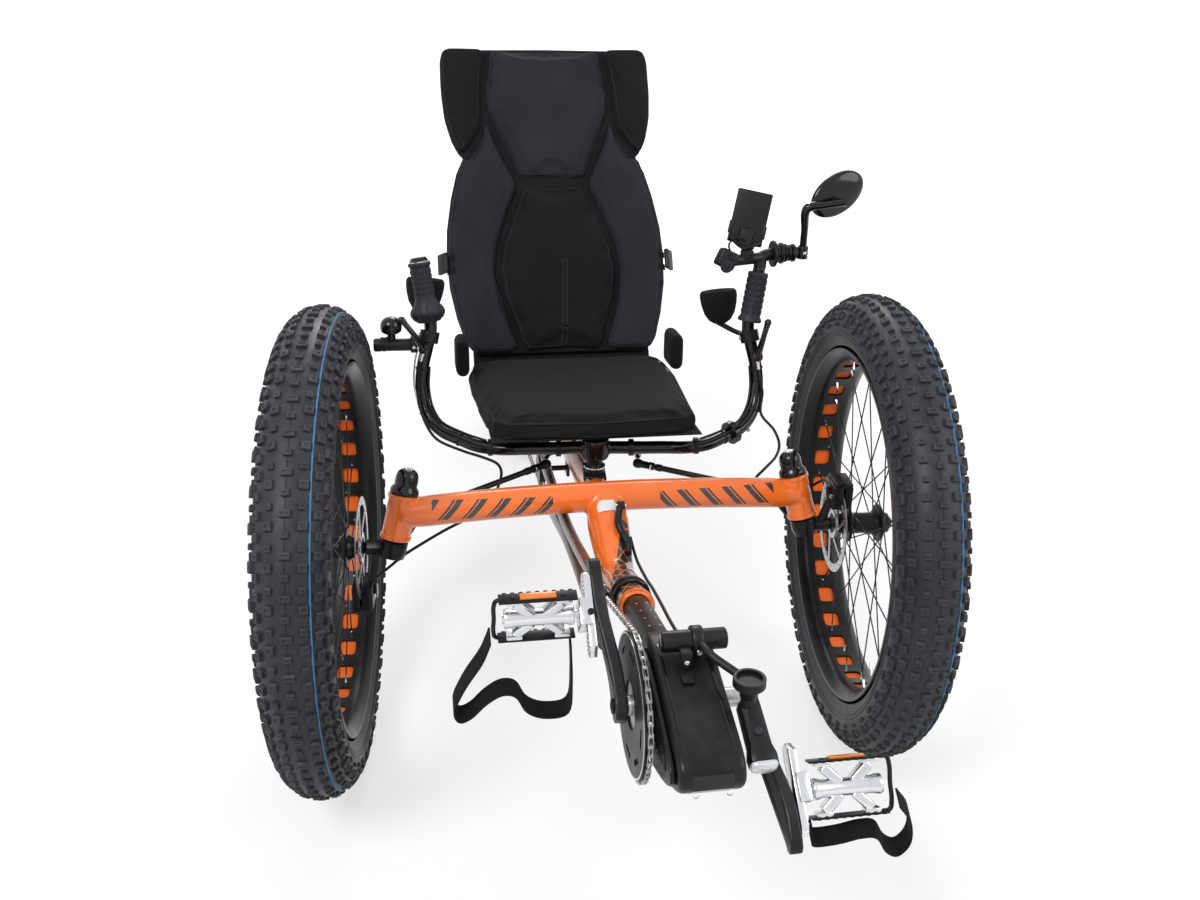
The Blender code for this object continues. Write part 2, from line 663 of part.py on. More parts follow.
def lamp_body():
    side = LAMP_AIM.cross(Z).normalized()
    up = side.cross(LAMP_AIM).normalized()
    rings = []
    for along, wide, high in ((0.0, 0.020, 0.018), (0.006, 0.027, 0.025), (0.058, 0.028, 0.026),
                              (0.070, 0.034, 0.027), (LAMP_LENGTH, 0.034, 0.024)):
        rings.append([LAMP_BACK + LAMP_AIM * along + side * a + up * b
                      for a, b in rounded(wide, high, 0.008)])
    shell = loft(rings)
    saddle = turned([(0.0085, -0.0130), (0.0085, 0.0)], CRADLE + Vector((0, 0, -0.0203)), Z, 12)
    return node("lamp_body", PLASTIC, [shell, saddle], pivot=BAR_AT, carried_by=LAMP_MOUNT)


def lamp_lens():
    side = LAMP_AIM.cross(Z).normalized()
    up = side.cross(LAMP_AIM).normalized()
    rings = []
    for along, wide, high in ((GAP, 0.031, 0.021), (0.005, 0.030, 0.020), (0.008, 0.020, 0.012)):
        rings.append([LAMP_BACK + LAMP_AIM * (LAMP_LENGTH + along) + side * a + up * b
                      for a, b in rounded(wide, high, 0.0055)])
    return node("lamp_lens", LENS, [loft(rings)], pivot=BAR_AT, carried_by=LAMP_MOUNT)


def chainring():
    """Crank axle with its spider, chainring and guard."""
    ring_out = RING_R - CHAIN_HIGH / 2 - CHAIN_CLEAR
    middle = CRANK_AXLE + X * DRIVE_X
    parts = [rod([middle - X * (CRANK_IN - GAP), middle + X * (CRANK_IN - GAP)],
                 CRANK_AXLE_R, 14),
             turned([(ring_out, CHAIN_X - 0.0012), (ring_out, CHAIN_X + 0.0012)],
                    CRANK_AXLE, X, 24),
             turned([(ring_out + 0.0016, CHAIN_X - CHAIN_WIDE / 2 - 0.0028),
                     (ring_out + 0.0021, CHAIN_X - CHAIN_WIDE / 2 - GAP)], CRANK_AXLE, X, 24),
             turned([(0.030, CHAIN_X - 0.0036), (0.030, CHAIN_X)], CRANK_AXLE, X, 12)]
    return node("chainring", STEEL, parts, pivot=CRANK_AXLE, carried_by=BOOM)


def crank_way(side):
    """Direction of a crank from the axle; the left one points ahead and down."""
    way = Vector((0, -math.cos(CRANK_ANGLE), -math.sin(CRANK_ANGLE)))
    return way if side > 0 else -way


def crank(name, side):
    way = crank_way(side)
    across = X.cross(way).normalized()
    rings = []
    for along, wide, flare in ((-0.020, 0.018, 0.0), (-0.012, 0.030, 0.0), (0.0, 0.036, 0.0),
                               (0.020, 0.032, 0.0), (0.060, 0.028, 0.25), (0.120, 0.026, 0.72),
                               (CRANK_LENGTH, 0.025, 1.0), (CRANK_LENGTH + 0.010, 0.020, 1.0),
                               (CRANK_LENGTH + 0.015, 0.010, 1.0)):
        face = CRANK_IN + CRANK_FLARE[side] * flare + CRANK_THICK / 2
        centre = CRANK_AXLE + way * along + X * (DRIVE_X + side * face)
        rings.append([centre + across * a + X * b for a, b in
                      rounded(wide, CRANK_THICK, min(0.004, wide / 3), 1)])
    return node("crank_" + name, BLACK_METAL, [loft(rings)], pivot=CRANK_AXLE,
                carried_by=CHAINRING)


def spindle_start(side):
    """Where the pedal's spindle leaves the outer face of the shortener."""
    out = CRANK_IN + CRANK_FLARE[side] + CRANK_THICK + GAP + SHORT_THICK
    return CRANK_AXLE + crank_way(side) * SHORT_CRANK + X * (DRIVE_X + side * out)


def shortener(name, side):
    """Bar clamped to the crank, which brings the pedal nearer the axle."""
    way = crank_way(side)
    across = X.cross(way).normalized()
    start = spindle_start(side)
    middle = start - way * 0.002 - X * side * SHORT_THICK / 2
    bar = prism(rounded(0.108, 0.027, 0.010), middle, way, across, SHORT_THICK)
    block = prism(rounded(0.034, 0.036, 0.004), middle + X * side * 0.006, way, across, 0.015)
    spindle = rod([start - X * side * 0.005, start + X * side * (PEDAL_GAP + PEDAL_WIDE + 0.002)],
                  PEDAL_AXLE_R, 10)
    return node("crank_shortener_" + name, SILVER, [bar, block, spindle],
                pivot=CRANK_AXLE, carried_by=CHAINRING)


def pedal_frame(side):
    """Directions of a pedal: out along its spindle, and across its face."""
    return X * side, Vector((0, math.cos(PEDAL_TILT[side]), math.sin(PEDAL_TILT[side])))


def pedal_middle(side):
    return spindle_start(side) + X * side * (PEDAL_GAP + PEDAL_WIDE / 2)


def pedal_body(name, side):
    """Cast X-shaped pedal body on a bored barrel."""
    out, up = pedal_frame(side)
    middle = pedal_middle(side)
    start = middle - out * PEDAL_WIDE / 2
    parts = [turned([(0.0125, 0.0), (0.0105, 0.012), (0.0105, PEDAL_WIDE - 0.012),
                     (0.0120, PEDAL_WIDE)], start, out, 10)]
    for sx in (-1, 1):
        for sy in (-1, 1):
            corner = middle + out * sx * (PEDAL_WIDE / 2 - 0.013) + up * sy * (
                PEDAL_HIGH / 2 - 0.0057)
            parts.append(rod([middle + out * sx * 0.010 + up * sy * 0.006, corner],
                             [0.0095, 0.0060], 6))
    bore = rod([start - out * 0.03, start + out * (PEDAL_WIDE + 0.01)],
               (PEDAL_AXLE_R + RUN) / math.cos(math.pi / 10), 10)
    return node("pedal_body_" + name, SILVER, parts, [bore], pivot=middle, carried_by=CHAINRING)


def pedal_cage(name, side, body):
    """Black plates before and behind the body, joined by an outer loop."""
    out, up = pedal_frame(side)
    middle = pedal_middle(side)
    parts = []
    for sy in (-1, 1):
        parts.append(box(middle + up * sy * PEDAL_HIGH / 2 + out * 0.002,
                         (PEDAL_WIDE + 0.010, 0.016, 0.0030), out, up))
    edge = PEDAL_WIDE / 2 + 0.003
    loop = [middle + out * edge + up * PEDAL_HIGH / 2,
            middle + out * (edge + 0.009) + up * PEDAL_HIGH * 0.36,
            middle + out * (edge + 0.009) - up * PEDAL_HIGH * 0.36,
            middle + out * edge - up * PEDAL_HIGH / 2]
    parts.append(rod(loop, 0.0028, 8))
    return node("pedal_cage_" + name, BLACK_METAL, parts, pivot=middle, carried_by=body)


STRAP_ROUTES = {
    1: ((-0.044, -0.0089), (-0.042, -0.024), (-0.012, -0.024), (0.016, -0.019), (0.036, -0.022),
        (0.050, -0.044), (0.066, -0.052), (0.079, -0.034), (0.075, -0.002), (0.0588, 0.022)),
    -1: ((-0.040, -0.0028), (-0.042, -0.060), (-0.038, -0.103), (-0.010, -0.109), (0.014, -0.098),
         (0.028, -0.074), (0.046, -0.070), (0.066, -0.082), (0.084, -0.100), (0.099, -0.105),
         (0.105, -0.088), (0.090, -0.054), (0.070, -0.022), (0.0590, 0.006)),
}


def pedal_strap(name, side, body):
    """Heel strap: a band that hangs in a curve under the pedal."""
    out, up = pedal_frame(side)
    middle = pedal_middle(side)
    low = middle - up * (PEDAL_HIGH / 2 + 0.0032)
    centre = smooth_path([low + out * a + Z * b for a, b in STRAP_ROUTES[side]], 2)
    rings = []
    for k, point in enumerate(centre):
        before, after = centre[max(k - 1, 0)], centre[min(k + 1, len(centre) - 1)]
        along = (after - before).normalized()
        wide = Vector((0, 0.8, 0.6)) * 0.0115
        thin = along.cross(wide).normalized() * 0.0011
        rings.append([point + wide + thin, point - wide + thin,
                      point - wide - thin, point + wide - thin])
    return node("pedal_strap_" + name, STRAP, [loft(rings)], pivot=middle, carried_by=body)


# Chain line

def arc(centre, radius, start, end, steps):
    """Points round a pulley in the (y, z) plane, angles in degrees."""
    points = []
    for k in range(steps + 1):
        a = math.radians(start + (end - start) * k / steps)
        points.append((centre[0] + radius * math.cos(a), centre[1] + radius * math.sin(a)))
    return points


def chain_x(y):
    share = (y - TUBE_FRONT_Y) / (REAR_AXLE_Y - TUBE_FRONT_Y)
    return CHAIN_X + (CHAIN_REAR_X - CHAIN_X) * min(max(share, 0.0), 1.0)


GUIDE = (REAR_AXLE_Y + 0.022, WHEEL_R - 0.083)
TENSION = (REAR_AXLE_Y + 0.002, WHEEL_R - 0.142)
TUBE_FRONT_Y, TUBE_BACK_Y = -0.315, 0.255
TUBE_CLIP_Y = 0.215


def chain_line():
    """The chain's middle line: over the top, round the rear, and back below."""
    line = arc((DRIVE_Y, DRIVE_Z), RING_R, 284, 72, 15)
    line += [(TUBE_FRONT_Y, 0.4440), (-0.010, 0.3880), (0.100, 0.3800), (TUBE_BACK_Y, 0.3770)]
    line += arc((IDLER_Y, IDLER_Z), IDLER_R, 92, 84, 1)
    line += [(0.800, 0.400)]
    line += arc((REAR_AXLE_Y, WHEEL_R), COG_R, 92, -30, 7)
    line += arc(GUIDE, JOCKEY_R, 140, 215, 4)
    line += arc(TENSION, JOCKEY_R, 30, -100, 6)
    line += [(0.800, 0.262)]
    line += arc((IDLER_Y, IDLER_Z), IDLER_R, -82, -94, 1)
    line += [(TUBE_BACK_Y, 0.3150), (0.100, 0.3450), (-0.010, 0.3640), (TUBE_FRONT_Y, 0.3700)]
    return line


def chain():
    line = chain_line()
    rings = []
    for k, (y, z) in enumerate(line):
        before, after = line[k - 1], line[(k + 1) % len(line)]
        along = Vector((0, after[0] - before[0], after[1] - before[1])).normalized()
        high = X.cross(along) * CHAIN_HIGH / 2
        wide = X * CHAIN_WIDE / 2
        point = Vector((chain_x(y), y, z))
        rings.append([point + wide + high, point - wide + high,
                      point - wide - high, point + wide - high])
    return node("chain", STEEL, [loft(rings, closed=True)])


def chain_tube(name, route):
    """Plastic tube that the chain slides through."""
    points = [Vector((chain_x(y), y, z)) for y, z in route]
    outside = rod(points, TUBE_OUT_R, 10)
    first, last = (points[0] - points[1]).normalized(), (points[-1] - points[-2]).normalized()
    inside = rod([points[0] + first * 0.01] + points[1:-1] + [points[-1] + last * 0.01],
                 TUBE_IN_R, 8)
    return node(name, TUBE_PLASTIC, [outside], [inside])


def idler_wheel():
    at = Vector((chain_x(IDLER_Y), IDLER_Y, IDLER_Z))
    groove = IDLER_R - CHAIN_HIGH / 2 - CHAIN_CLEAR
    lip = CHAIN_WIDE / 2 + GAP
    wheel = turned([(groove + 0.003, -lip - 0.002), (groove, -lip), (groove, lip),
                    (groove + 0.003, lip + 0.002)], at, X, 18)
    bore = rod([at - X * 0.02, at + X * 0.02], (0.005 + RUN) / math.cos(math.pi / 10), 10)
    return node("idler_wheel", PLASTIC, [wheel], [bore], pivot=at)


def cassette():
    """Stack of sprockets beside the rear hub."""
    at = REAR_HUB + X * CHAIN_REAR_X
    top = COG_R - CHAIN_HIGH / 2 - CHAIN_CLEAR
    profile = [(0.0250, -0.0110), (0.0250, -0.0035), (top, -0.0012), (top, 0.0012),
               (0.0250, 0.0035), (0.0500, 0.0070), (0.0520, 0.0085), (0.0250, 0.0100)]
    bore = rod([at - X * 0.03, at + X * 0.03], (0.0070 + RUN) / math.cos(math.pi / 12), 12)
    return node("cassette", STEEL, [turned(profile, at, X, 18)], [bore], pivot=at)


def rear_derailleur():
    """Hanger body, cage and two jockey wheels."""
    x = CHAIN_REAR_X
    parts = [box((x - 0.0135, (GUIDE[0] + TENSION[0]) / 2, (GUIDE[1] + TENSION[1]) / 2),
                 (0.0030, 0.026, 0.084), X,
                 Vector((0, GUIDE[0] - TENSION[0], GUIDE[1] - TENSION[1])))]
    for y, z in (GUIDE, TENSION):
        parts.append(turned([(JOCKEY_R - CHAIN_HIGH / 2 - CHAIN_CLEAR, x - 0.0022),
                             (JOCKEY_R - CHAIN_HIGH / 2 - CHAIN_CLEAR, x + 0.0022)], (0, y, z), X, 14))
        parts.append(rod([(x - 0.014, y, z), (x, y, z)], 0.0045, 8))
    hanger = Vector((x - 0.016, REAR_AXLE_Y + 0.018, WHEEL_R - 0.034))
    foot = hanger + Vector((-0.0045, 0.0, -0.015 - GAP))
    parts.append(rod([foot, foot - Z * 0.008, foot + Vector((0, 0.005, -0.022)),
                      (x - 0.0150, GUIDE[0], GUIDE[1])], [0.007, 0.007, 0.009, 0.008], 10))
    return node("rear_derailleur", BLACK_METAL, parts, pivot=foot)


# Seat

BACK_UP = Vector((0, math.cos(BACK_ANGLE), math.sin(BACK_ANGLE)))
BACK_OUT = X.cross(BACK_UP).normalized()
BASE_BACK = Vector((0, math.cos(BASE_SLOPE), math.sin(BASE_SLOPE)))
BASE_UP = X.cross(BASE_BACK).normalized()
CREASE = Vector((0, CREASE_Y, CREASE_Z))


def on_back(x, s, depth=0.0):
    """A place on the back rest: sideways, up the back, and behind its front."""
    return CREASE + X * x + BACK_UP * s - BACK_OUT * depth


def on_base(x, s, depth=0.0):
    """A place on the seat base: sideways, forward of the crease, and below its top."""
    return CREASE + X * x - BASE_BACK * s - BASE_UP * depth


RAIL_DEPTH = CUSHION + SLING + 2 * GAP + RAIL_R
SLING_DEPTH = CUSHION + GAP


def rail_corner():
    """Height along both planes at which the rails of base and back meet."""
    base, back = on_base(0, 0, RAIL_DEPTH), on_back(0, 0, RAIL_DEPTH)
    gap = base - back
    across = BACK_UP.y * BASE_BACK.z - BACK_UP.z * BASE_BACK.y
    s = (gap.y * BASE_BACK.z - gap.z * BASE_BACK.y) / across
    return back + BACK_UP * s


def seat_frame():
    corner = rail_corner()
    parts = []
    for _, side in SIDES:
        x = X * side * RAIL_X
        foot = on_base(0, RAIL_REACH, RAIL_DEPTH)
        bend = [corner - BASE_BACK * 0.030, corner + Vector((0, 0.004, 0.002)),
                corner + BACK_UP * 0.035]
        path = [foot + x] + [b + x for b in bend]
        path += [on_back(side * RAIL_X, s, RAIL_DEPTH) for s in (0.20, 0.40, BACK_LENGTH - 0.02)]
        parts.append(rod(path, RAIL_R, 8))
        high = on_back(side * RAIL_X, 0.36, RAIL_DEPTH)
        low = Vector((side * 0.091, YOKE_Y, YOKE_Z + YOKE_R * math.cos(math.pi / 12) + GAP))
        parts.append(rod([high, low + Vector((side * 0.006, -0.004, 0.060)), low + Z * 0.020, low],
                         0.008, 6))
    for s in (0.06, RAIL_REACH - 0.012):
        parts.append(rod([on_base(-RAIL_X, s, RAIL_DEPTH), on_base(RAIL_X, s, RAIL_DEPTH)],
                         0.0085, 6))
    for s in (0.20, BACK_LENGTH - 0.025):
        parts.append(rod([on_back(-RAIL_X, s, RAIL_DEPTH), on_back(RAIL_X, s, RAIL_DEPTH)],
                         0.0085, 6))
    bar = on_base(0, 0.06, RAIL_DEPTH)
    parts.append(box((0, bar.y, (bar.z + 0.395) / 2), (0.030, 0.030, bar.z - 0.381)))
    saddle = rod([MAIN_BEND, (0, MAIN_BACK_Y, MAIN_BACK_Z)], MAIN_R + GAP, 12)
    return node("seat_frame", BLACK_PAINT, parts, [saddle])


def seat_sling():
    """Sheet that is laced over the rails and carries the cushions."""
    low, high = SLING_DEPTH + SLING, SLING_DEPTH
    gap = on_base(0, 0, high) - on_back(0, 0, high)
    across = BACK_UP.y * BASE_BACK.z - BACK_UP.z * BASE_BACK.y
    inner = on_back(0, 0, high) + BACK_UP * (
        (gap.y * BASE_BACK.z - gap.z * BASE_BACK.y) / across)
    gap = on_base(0, 0, low) - on_back(0, 0, low)
    outer = on_back(0, 0, low) + BACK_UP * (
        (gap.y * BASE_BACK.z - gap.z * BASE_BACK.y) / across)
    outline = [on_base(0, BASE_FRONT + 0.004, high), inner, on_back(0, BACK_LENGTH - 0.008, high),
               on_back(0, BACK_LENGTH - 0.008, low), outer,
               on_base(0, BASE_FRONT + 0.004, low)]
    rings = [[p + X * side * SLING_HALF for p in outline] for side in (-1, 1)]
    return node("seat_sling", BLACK_FABRIC, [loft(rings)])


def back_pad(outline, spread=0.0007):
    return pad(inset(outline, -spread), on_back(0, 0, CUSHION), X, BACK_UP, CUSHION)


def headrest_cushion():
    """Centre pad and two side wings behind the rider's shoulders."""
    head = [(0.0, 0.350), (0.045, 0.350), (0.066, 0.353), (0.088, 0.400), (0.110, 0.455),
            (0.124, 0.495), (0.127, 0.530), (0.121, 0.580), (0.113, 0.622), (0.100, 0.630),
            (0.0, 0.632)]
    wing = [(0.183, 0.405), (0.198, 0.435), (0.209, 0.480), (0.213, 0.530), (0.213, 0.600),
            (0.206, 0.626), (0.190, 0.631), (0.130, 0.630), (0.1140, 0.622), (0.1220, 0.580),
            (0.1280, 0.530), (0.1290, 0.490), (0.1360, 0.455), (0.165, 0.412)]
    parts = [back_pad(mirrored(head)), back_pad(wing),
             back_pad([(-x, s) for x, s in reversed(wing)])]
    return node("headrest_cushion", GREY_FABRIC, parts)


def back_cushion():
    """Two side panels and a centre panel, sewn together along channels."""
    centre = [(0.0, 0.003), (0.070, 0.003), (0.083, 0.020), (0.095, 0.055), (0.112, 0.110),
              (0.119, 0.165), (0.113, 0.215), (0.092, 0.275), (0.070, 0.325), (0.060, 0.344),
              (0.0, 0.345)]
    side = [(0.175, 0.006), (0.190, 0.030), (0.205, 0.080), (0.216, 0.140), (0.219, 0.200),
            (0.216, 0.255), (0.205, 0.320), (0.192, 0.370), (0.182, 0.398), (0.160, 0.406),
            (0.134, 0.446), (0.1235, 0.480), (0.1100, 0.448), (0.0900, 0.398), (0.0700, 0.350),
            (0.0715, 0.330), (0.0935, 0.279), (0.1145, 0.217), (0.1205, 0.165), (0.1130, 0.108),
            (0.0960, 0.053), (0.0835, 0.015), (0.100, 0.005)]
    parts = [back_pad(mirrored(centre)), back_pad(side),
             back_pad([(-x, s) for x, s in reversed(side)])]
    slit = box(on_back(0, 0.095, 0.0), (0.005, 0.020, 0.185), X, BACK_UP)
    return node("back_cushion", GREY_FABRIC, parts, [slit])


def base_cushion():
    """Seat cushion with a hip bolster at each side."""
    half = [(0.0, 0.004), (0.150, 0.004), (0.184, 0.020), (0.195, 0.060), (0.197, 0.150),
            (0.190, 0.250), (0.184, 0.330), (0.176, 0.376), (0.150, 0.403), (0.0, BASE_FRONT)]
    origin = on_base(0, 0, CUSHION)
    outline = [(-x, -s) for x, s in mirrored(half)]
    parts = [pad(outline, origin, X, BASE_BACK, CUSHION)]
    for side in (-1, 1):
        middle = on_base(side * 0.199, 0.062, -0.018)
        rings = []
        for along, wide, high in ((-0.040, 0.014, 0.050), (-0.034, 0.026, 0.070),
                                  (0.0, 0.030, 0.074), (0.034, 0.026, 0.066),
                                  (0.042, 0.012, 0.046)):
            rings.append([middle + BASE_BACK * along + X * a + BASE_UP * b
                          for a, b in rounded(wide, high, wide * 0.4)])
        parts.append(loft(rings))
    low_cut = box(origin - BASE_UP * 0.010 - BASE_BACK * 0.2, (0.6, 0.8, 0.020), X, BASE_UP)
    behind = box(on_back(0, 0.02, 0.05 - GAP), (0.6, 0.10, 0.30), X, BACK_UP)
    return node("base_cushion", BLACK_FABRIC, parts, [low_cut, behind])


# Controls

STEER_PIVOT = Vector((0, STEER_Y, 0.482))
GRIP_LOW = (0.2715, 0.2455, 0.640)
GRIP_HIGH = (0.2880, 0.2627, 0.749)
BAR_END = (0.2874, 0.2621, 0.745)


def bar_path(side):
    corners = [(0.0, STEER_Y, 0.482), (0.100, 0.105, 0.479), (0.184, 0.128, 0.472),
               (0.222, 0.150, 0.477), (0.259, 0.175, 0.487), (0.280, 0.197, 0.508),
               (0.288, 0.214, 0.540), (0.2865, 0.226, 0.575), (0.277, 0.238, 0.615)]
    points = [Vector(c) for c in corners] + [Vector(GRIP_LOW), Vector(BAR_END)]
    return [steered(side * p.x, p.y, p.z) for p in points]


def ball_joint(side):
    return steered(side * ARM_SIDE, STEER_Y + ARM_BACK, ARM_Z)


def knuckle_joint(side):
    top = kingpin(side, KNUCKLE_ARM_Z)
    return top + turn_right((-side * KNUCKLE_ARM_IN, KNUCKLE_ARM_BACK, 0))


def handlebar():
    """U-shaped bar on its upright pivot, with steering arms and accessory bars."""
    path = bar_path(-1)[::-1] + bar_path(1)[1:]
    parts = [rod(path, BAR_R, 10)]
    parts.append(turned([(0.0230, 0.4643), (0.0230, 0.500)], (0, STEER_Y, 0), Z, 12))
    for _, side in SIDES:
        joint = ball_joint(side)
        parts.append(rod([steered(side * 0.060, STEER_Y + 0.003, 0.479),
                          steered(side * 0.071, STEER_Y + 0.032, 0.463),
                          joint + Z * 0.019], [0.009, 0.008, 0.0072], 8))
        parts.append(turned([(0.0060, 0.0100), (0.0060, 0.0200)], joint, Z, 8))
        low = steered(side * GRIP_LOW[0], GRIP_LOW[1], GRIP_LOW[2])
        under = steered(side * 0.277, 0.238, 0.615)
        parts.append(turned([(COLLAR_R, -0.0105), (COLLAR_R, 0.0095)], (low + under) / 2,
                            low - under, 9))
        lever = LEVER_PIVOTS[side]
        parts.append(rod([(lever.x, under.y - 0.002, lever.z),
                          lever + Y * (LEVER_HUB_R + GAP)], 0.0062, 8))
    parts.append(rod([(-0.2600, 0.2600, 0.6160), (-0.3530, 0.2650, 0.6157)], 0.0105, 10))
    parts.append(rod([GRIP_TOP - (GRIP_TOP - steered(*GRIP_LOW)).normalized() * 0.005,
                      (0.3040, 0.2380, 0.7590), (0.3220, 0.2410, 0.7650), (0.3480, 0.2500, 0.7640),
                      MIRROR_FOOT - X * (MIRROR_FOOT_R + GAP)],
                     [0.0110, 0.0105, 0.0100, 0.0100, 0.0100], 8))
    parts.append(turned([(0.0165, 0.0), (0.0165, 0.020)], (0.3250, 0.2430, 0.7650), X, 8))
    parts.append(rod([(0.3060, 0.2380, 0.7600), (0.2440, 0.2220, 0.7590)], 0.0095, 8))
    parts.append(box((0.2360, 0.2160, 0.7640), (0.034, 0.030, 0.030), X,
                     Vector((0.45, 0.20, 0.87)), 0.004))
    parts.append(box(DISPLAY_HINGE - Z * (0.0055 + GAP + 0.0085), (0.020, 0.014, 0.017)))
    return node("handlebar", BLACK_METAL, parts, pivot=STEER_PIVOT)


def grip(name, side):
    low, high = steered(side * GRIP_LOW[0], *GRIP_LOW[1:]), steered(side * GRIP_HIGH[0],
                                                                   *GRIP_HIGH[1:])
    axis = (high - low).normalized()
    length = (high - low).length
    low = low + axis * 0.013
    length -= 0.013
    bore_end = (steered(side * BAR_END[0], *BAR_END[1:]) - low).length + GAP
    if side > 0:
        profile = [(0.0205, 0.0), (GRIP_R, 0.010), (GRIP_R, length - 0.020),
                   (0.0160, length - 0.014)]
        bore_end = length + 0.02
    else:
        profile = [(0.0200, 0.0), (0.0275, 0.014), (0.0265, 0.020), (GRIP_R + 0.001, 0.034),
                   (GRIP_R, 0.044), (GRIP_R + 0.0015, length), (0.0150, length + 0.010)]
    shell = turned(profile, low, axis, 14)
    bore = rod([low - axis * 0.02, low + axis * bore_end],
               (BAR_R + GAP) / math.cos(math.pi / 10), 10)
    return node("grip_" + name, GRIP_RUBBER, [shell], [bore], pivot=STEER_PIVOT,
                carried_by=HANDLEBAR)


PALM_PLACES = {1: Vector((0.2460, 0.2780, 0.6640)), -1: Vector((-0.2640, 0.3280, 0.6830))}
PALM_FOOT = {1: 0.0027, -1: 0.0012}        # foot of the bracket off the bar's collar


def palm_rest(name, side):
    """Padded rest behind the grip on a bent bracket."""
    middle = PALM_PLACES[side]
    rings = []
    for height, wide, deep in ((-0.032, 0.018, 0.014), (-0.022, 0.044, 0.030),
                               (0.004, 0.062, 0.040), (0.020, 0.066, 0.042), (0.028, 0.056, 0.032)):
        centre = middle + Vector((-side * height * 0.10, height * 0.15, height))
        rings.append([centre + turn_right((a, b, 0)) for a, b in rounded(wide, deep, deep * 0.42)])
    foot = (steered(side * 0.277, 0.238, 0.615) + steered(side * GRIP_LOW[0], *GRIP_LOW[1:])) / 2
    away = Vector((middle.x - foot.x, middle.y - foot.y, 0)).normalized()
    parts = [loft(rings),
             rod([foot + away * (COLLAR_R + PALM_FOOT[side]), foot + away * 0.028,
                  middle - Z * 0.026], 0.0045, 8)]
    return node("palm_rest_" + name, BLACK_FABRIC, parts, pivot=STEER_PIVOT, carried_by=HANDLEBAR)


LEVER_HUB_R = 0.0072
LEVER_PIVOTS = {1: Vector((0.2930, 0.1820, 0.6015)), -1: Vector((-0.2720, 0.2330, 0.6180))}
LEVER_TIPS = {1: Vector((0.3010, 0.1650, 0.6690)), -1: Vector((-0.3055, 0.2120, 0.6760))}


def brake_lever(name, side):
    """Two-finger blade that stands in front of the grip."""
    at, tip = LEVER_PIVOTS[side], LEVER_TIPS[side]
    bow = (at + tip) / 2 - Y * 0.010 - X * side * 0.004
    blade = smooth_path([at, bow, tip], 2)
    parts = [rod(blade, [0.0060, 0.0055, 0.0048, 0.0045, 0.0060], 8),
             rod([at - X * 0.007, at + X * 0.007], LEVER_HUB_R, 10)]
    return node("brake_lever_" + name, BLACK_METAL, parts, pivot=at, carried_by=HANDLEBAR)


def bell():
    at = Vector((-0.3230, 0.2634, 0.6157 + 0.0105 + GAP))
    parts = [turned([(0.007, 0.0), (0.007, 0.010), (0.0175, 0.012), (0.0180, 0.024),
                     (0.0145, 0.034), (0.0060, 0.038)], at, Z, 16)]
    return node("bell", BLACK_METAL, parts, pivot=STEER_PIVOT, carried_by=HANDLEBAR)


GRIP_TOP = steered(*GRIP_HIGH)
DISPLAY_HINGE = Vector((0.2740, 0.2260, 0.7820))
MIRROR_FOOT = Vector((0.3800, 0.2500, 0.7640))
MIRROR_FOOT_R = 0.0095
MIRROR_ELBOW = Vector((0.3716, 0.2260, 0.8463))
MIRROR_HUB = Vector((0.4340, 0.2220, 0.8560))
MIRROR_BACK = Vector((0.155, -0.980, 0.103)).normalized()
MIRROR_LONG = Vector((0.850, 0.187, 0.500)).normalized()
SHELL_BACK = 0.0240                # ball joint to the middle of the mirror shell
STUB_CLEAR = 0.0010                # stub to the shell, so that the shell can tilt


def display():
    """Flat display on a tilting foot above the left grip."""
    lean = Vector((0.22, 0.20, 0.94)).normalized()
    across = lean.cross(Vector((0.20, 0.95, -0.20))).normalized()
    middle = DISPLAY_HINGE + lean * 0.0480 + Vector((-0.006, 0.004, 0))
    parts = [prism(rounded(0.060, 0.090, 0.003), middle, across, lean, 0.009),
             rod([DISPLAY_HINGE - X * 0.010, DISPLAY_HINGE + X * 0.010], 0.0055, 10)]
    return node("display", PLASTIC, parts, pivot=DISPLAY_HINGE, carried_by=HANDLEBAR)


def mirror_arm():
    end = MIRROR_HUB + MIRROR_BACK * 0.0060
    stub = MIRROR_HUB - MIRROR_BACK * (SHELL_BACK - 0.0080 - STUB_CLEAR)
    path = [MIRROR_FOOT - Z * 0.010, MIRROR_FOOT + Z * 0.011, MIRROR_FOOT + Z * 0.0125,
            MIRROR_ELBOW, MIRROR_ELBOW * 0.9 + end * 0.1, end, stub]
    parts = [rod(path, [MIRROR_FOOT_R, MIRROR_FOOT_R, 0.0075, 0.0085, 0.0070, 0.0065, 0.0045], 10)]
    return node("mirror_arm", BLACK_METAL, parts, pivot=MIRROR_FOOT, carried_by=HANDLEBAR)


def mirror_head(arm):
    """Oval mirror shell on a ball."""
    short_way = MIRROR_BACK.cross(MIRROR_LONG).normalized()
    shift = Vector((0.001, 0, 0.011))
    centre = MIRROR_HUB - MIRROR_BACK * SHELL_BACK + shift - MIRROR_BACK * shift.dot(MIRROR_BACK)
    rings = []
    for depth, share in ((-0.005, 0.92), (-0.003, 1.0), (0.003, 1.0), (0.0065, 0.88),
                         (0.0080, 0.60)):
        rings.append([centre + MIRROR_BACK * depth + share * (0.052 * math.cos(a) * MIRROR_LONG
                      + 0.033 * math.sin(a) * short_way)
                      for a in [2 * math.pi * k / 16 for k in range(16)]])
    return node("mirror_head", PLASTIC, [loft(rings)], pivot=MIRROR_HUB, carried_by=arm)


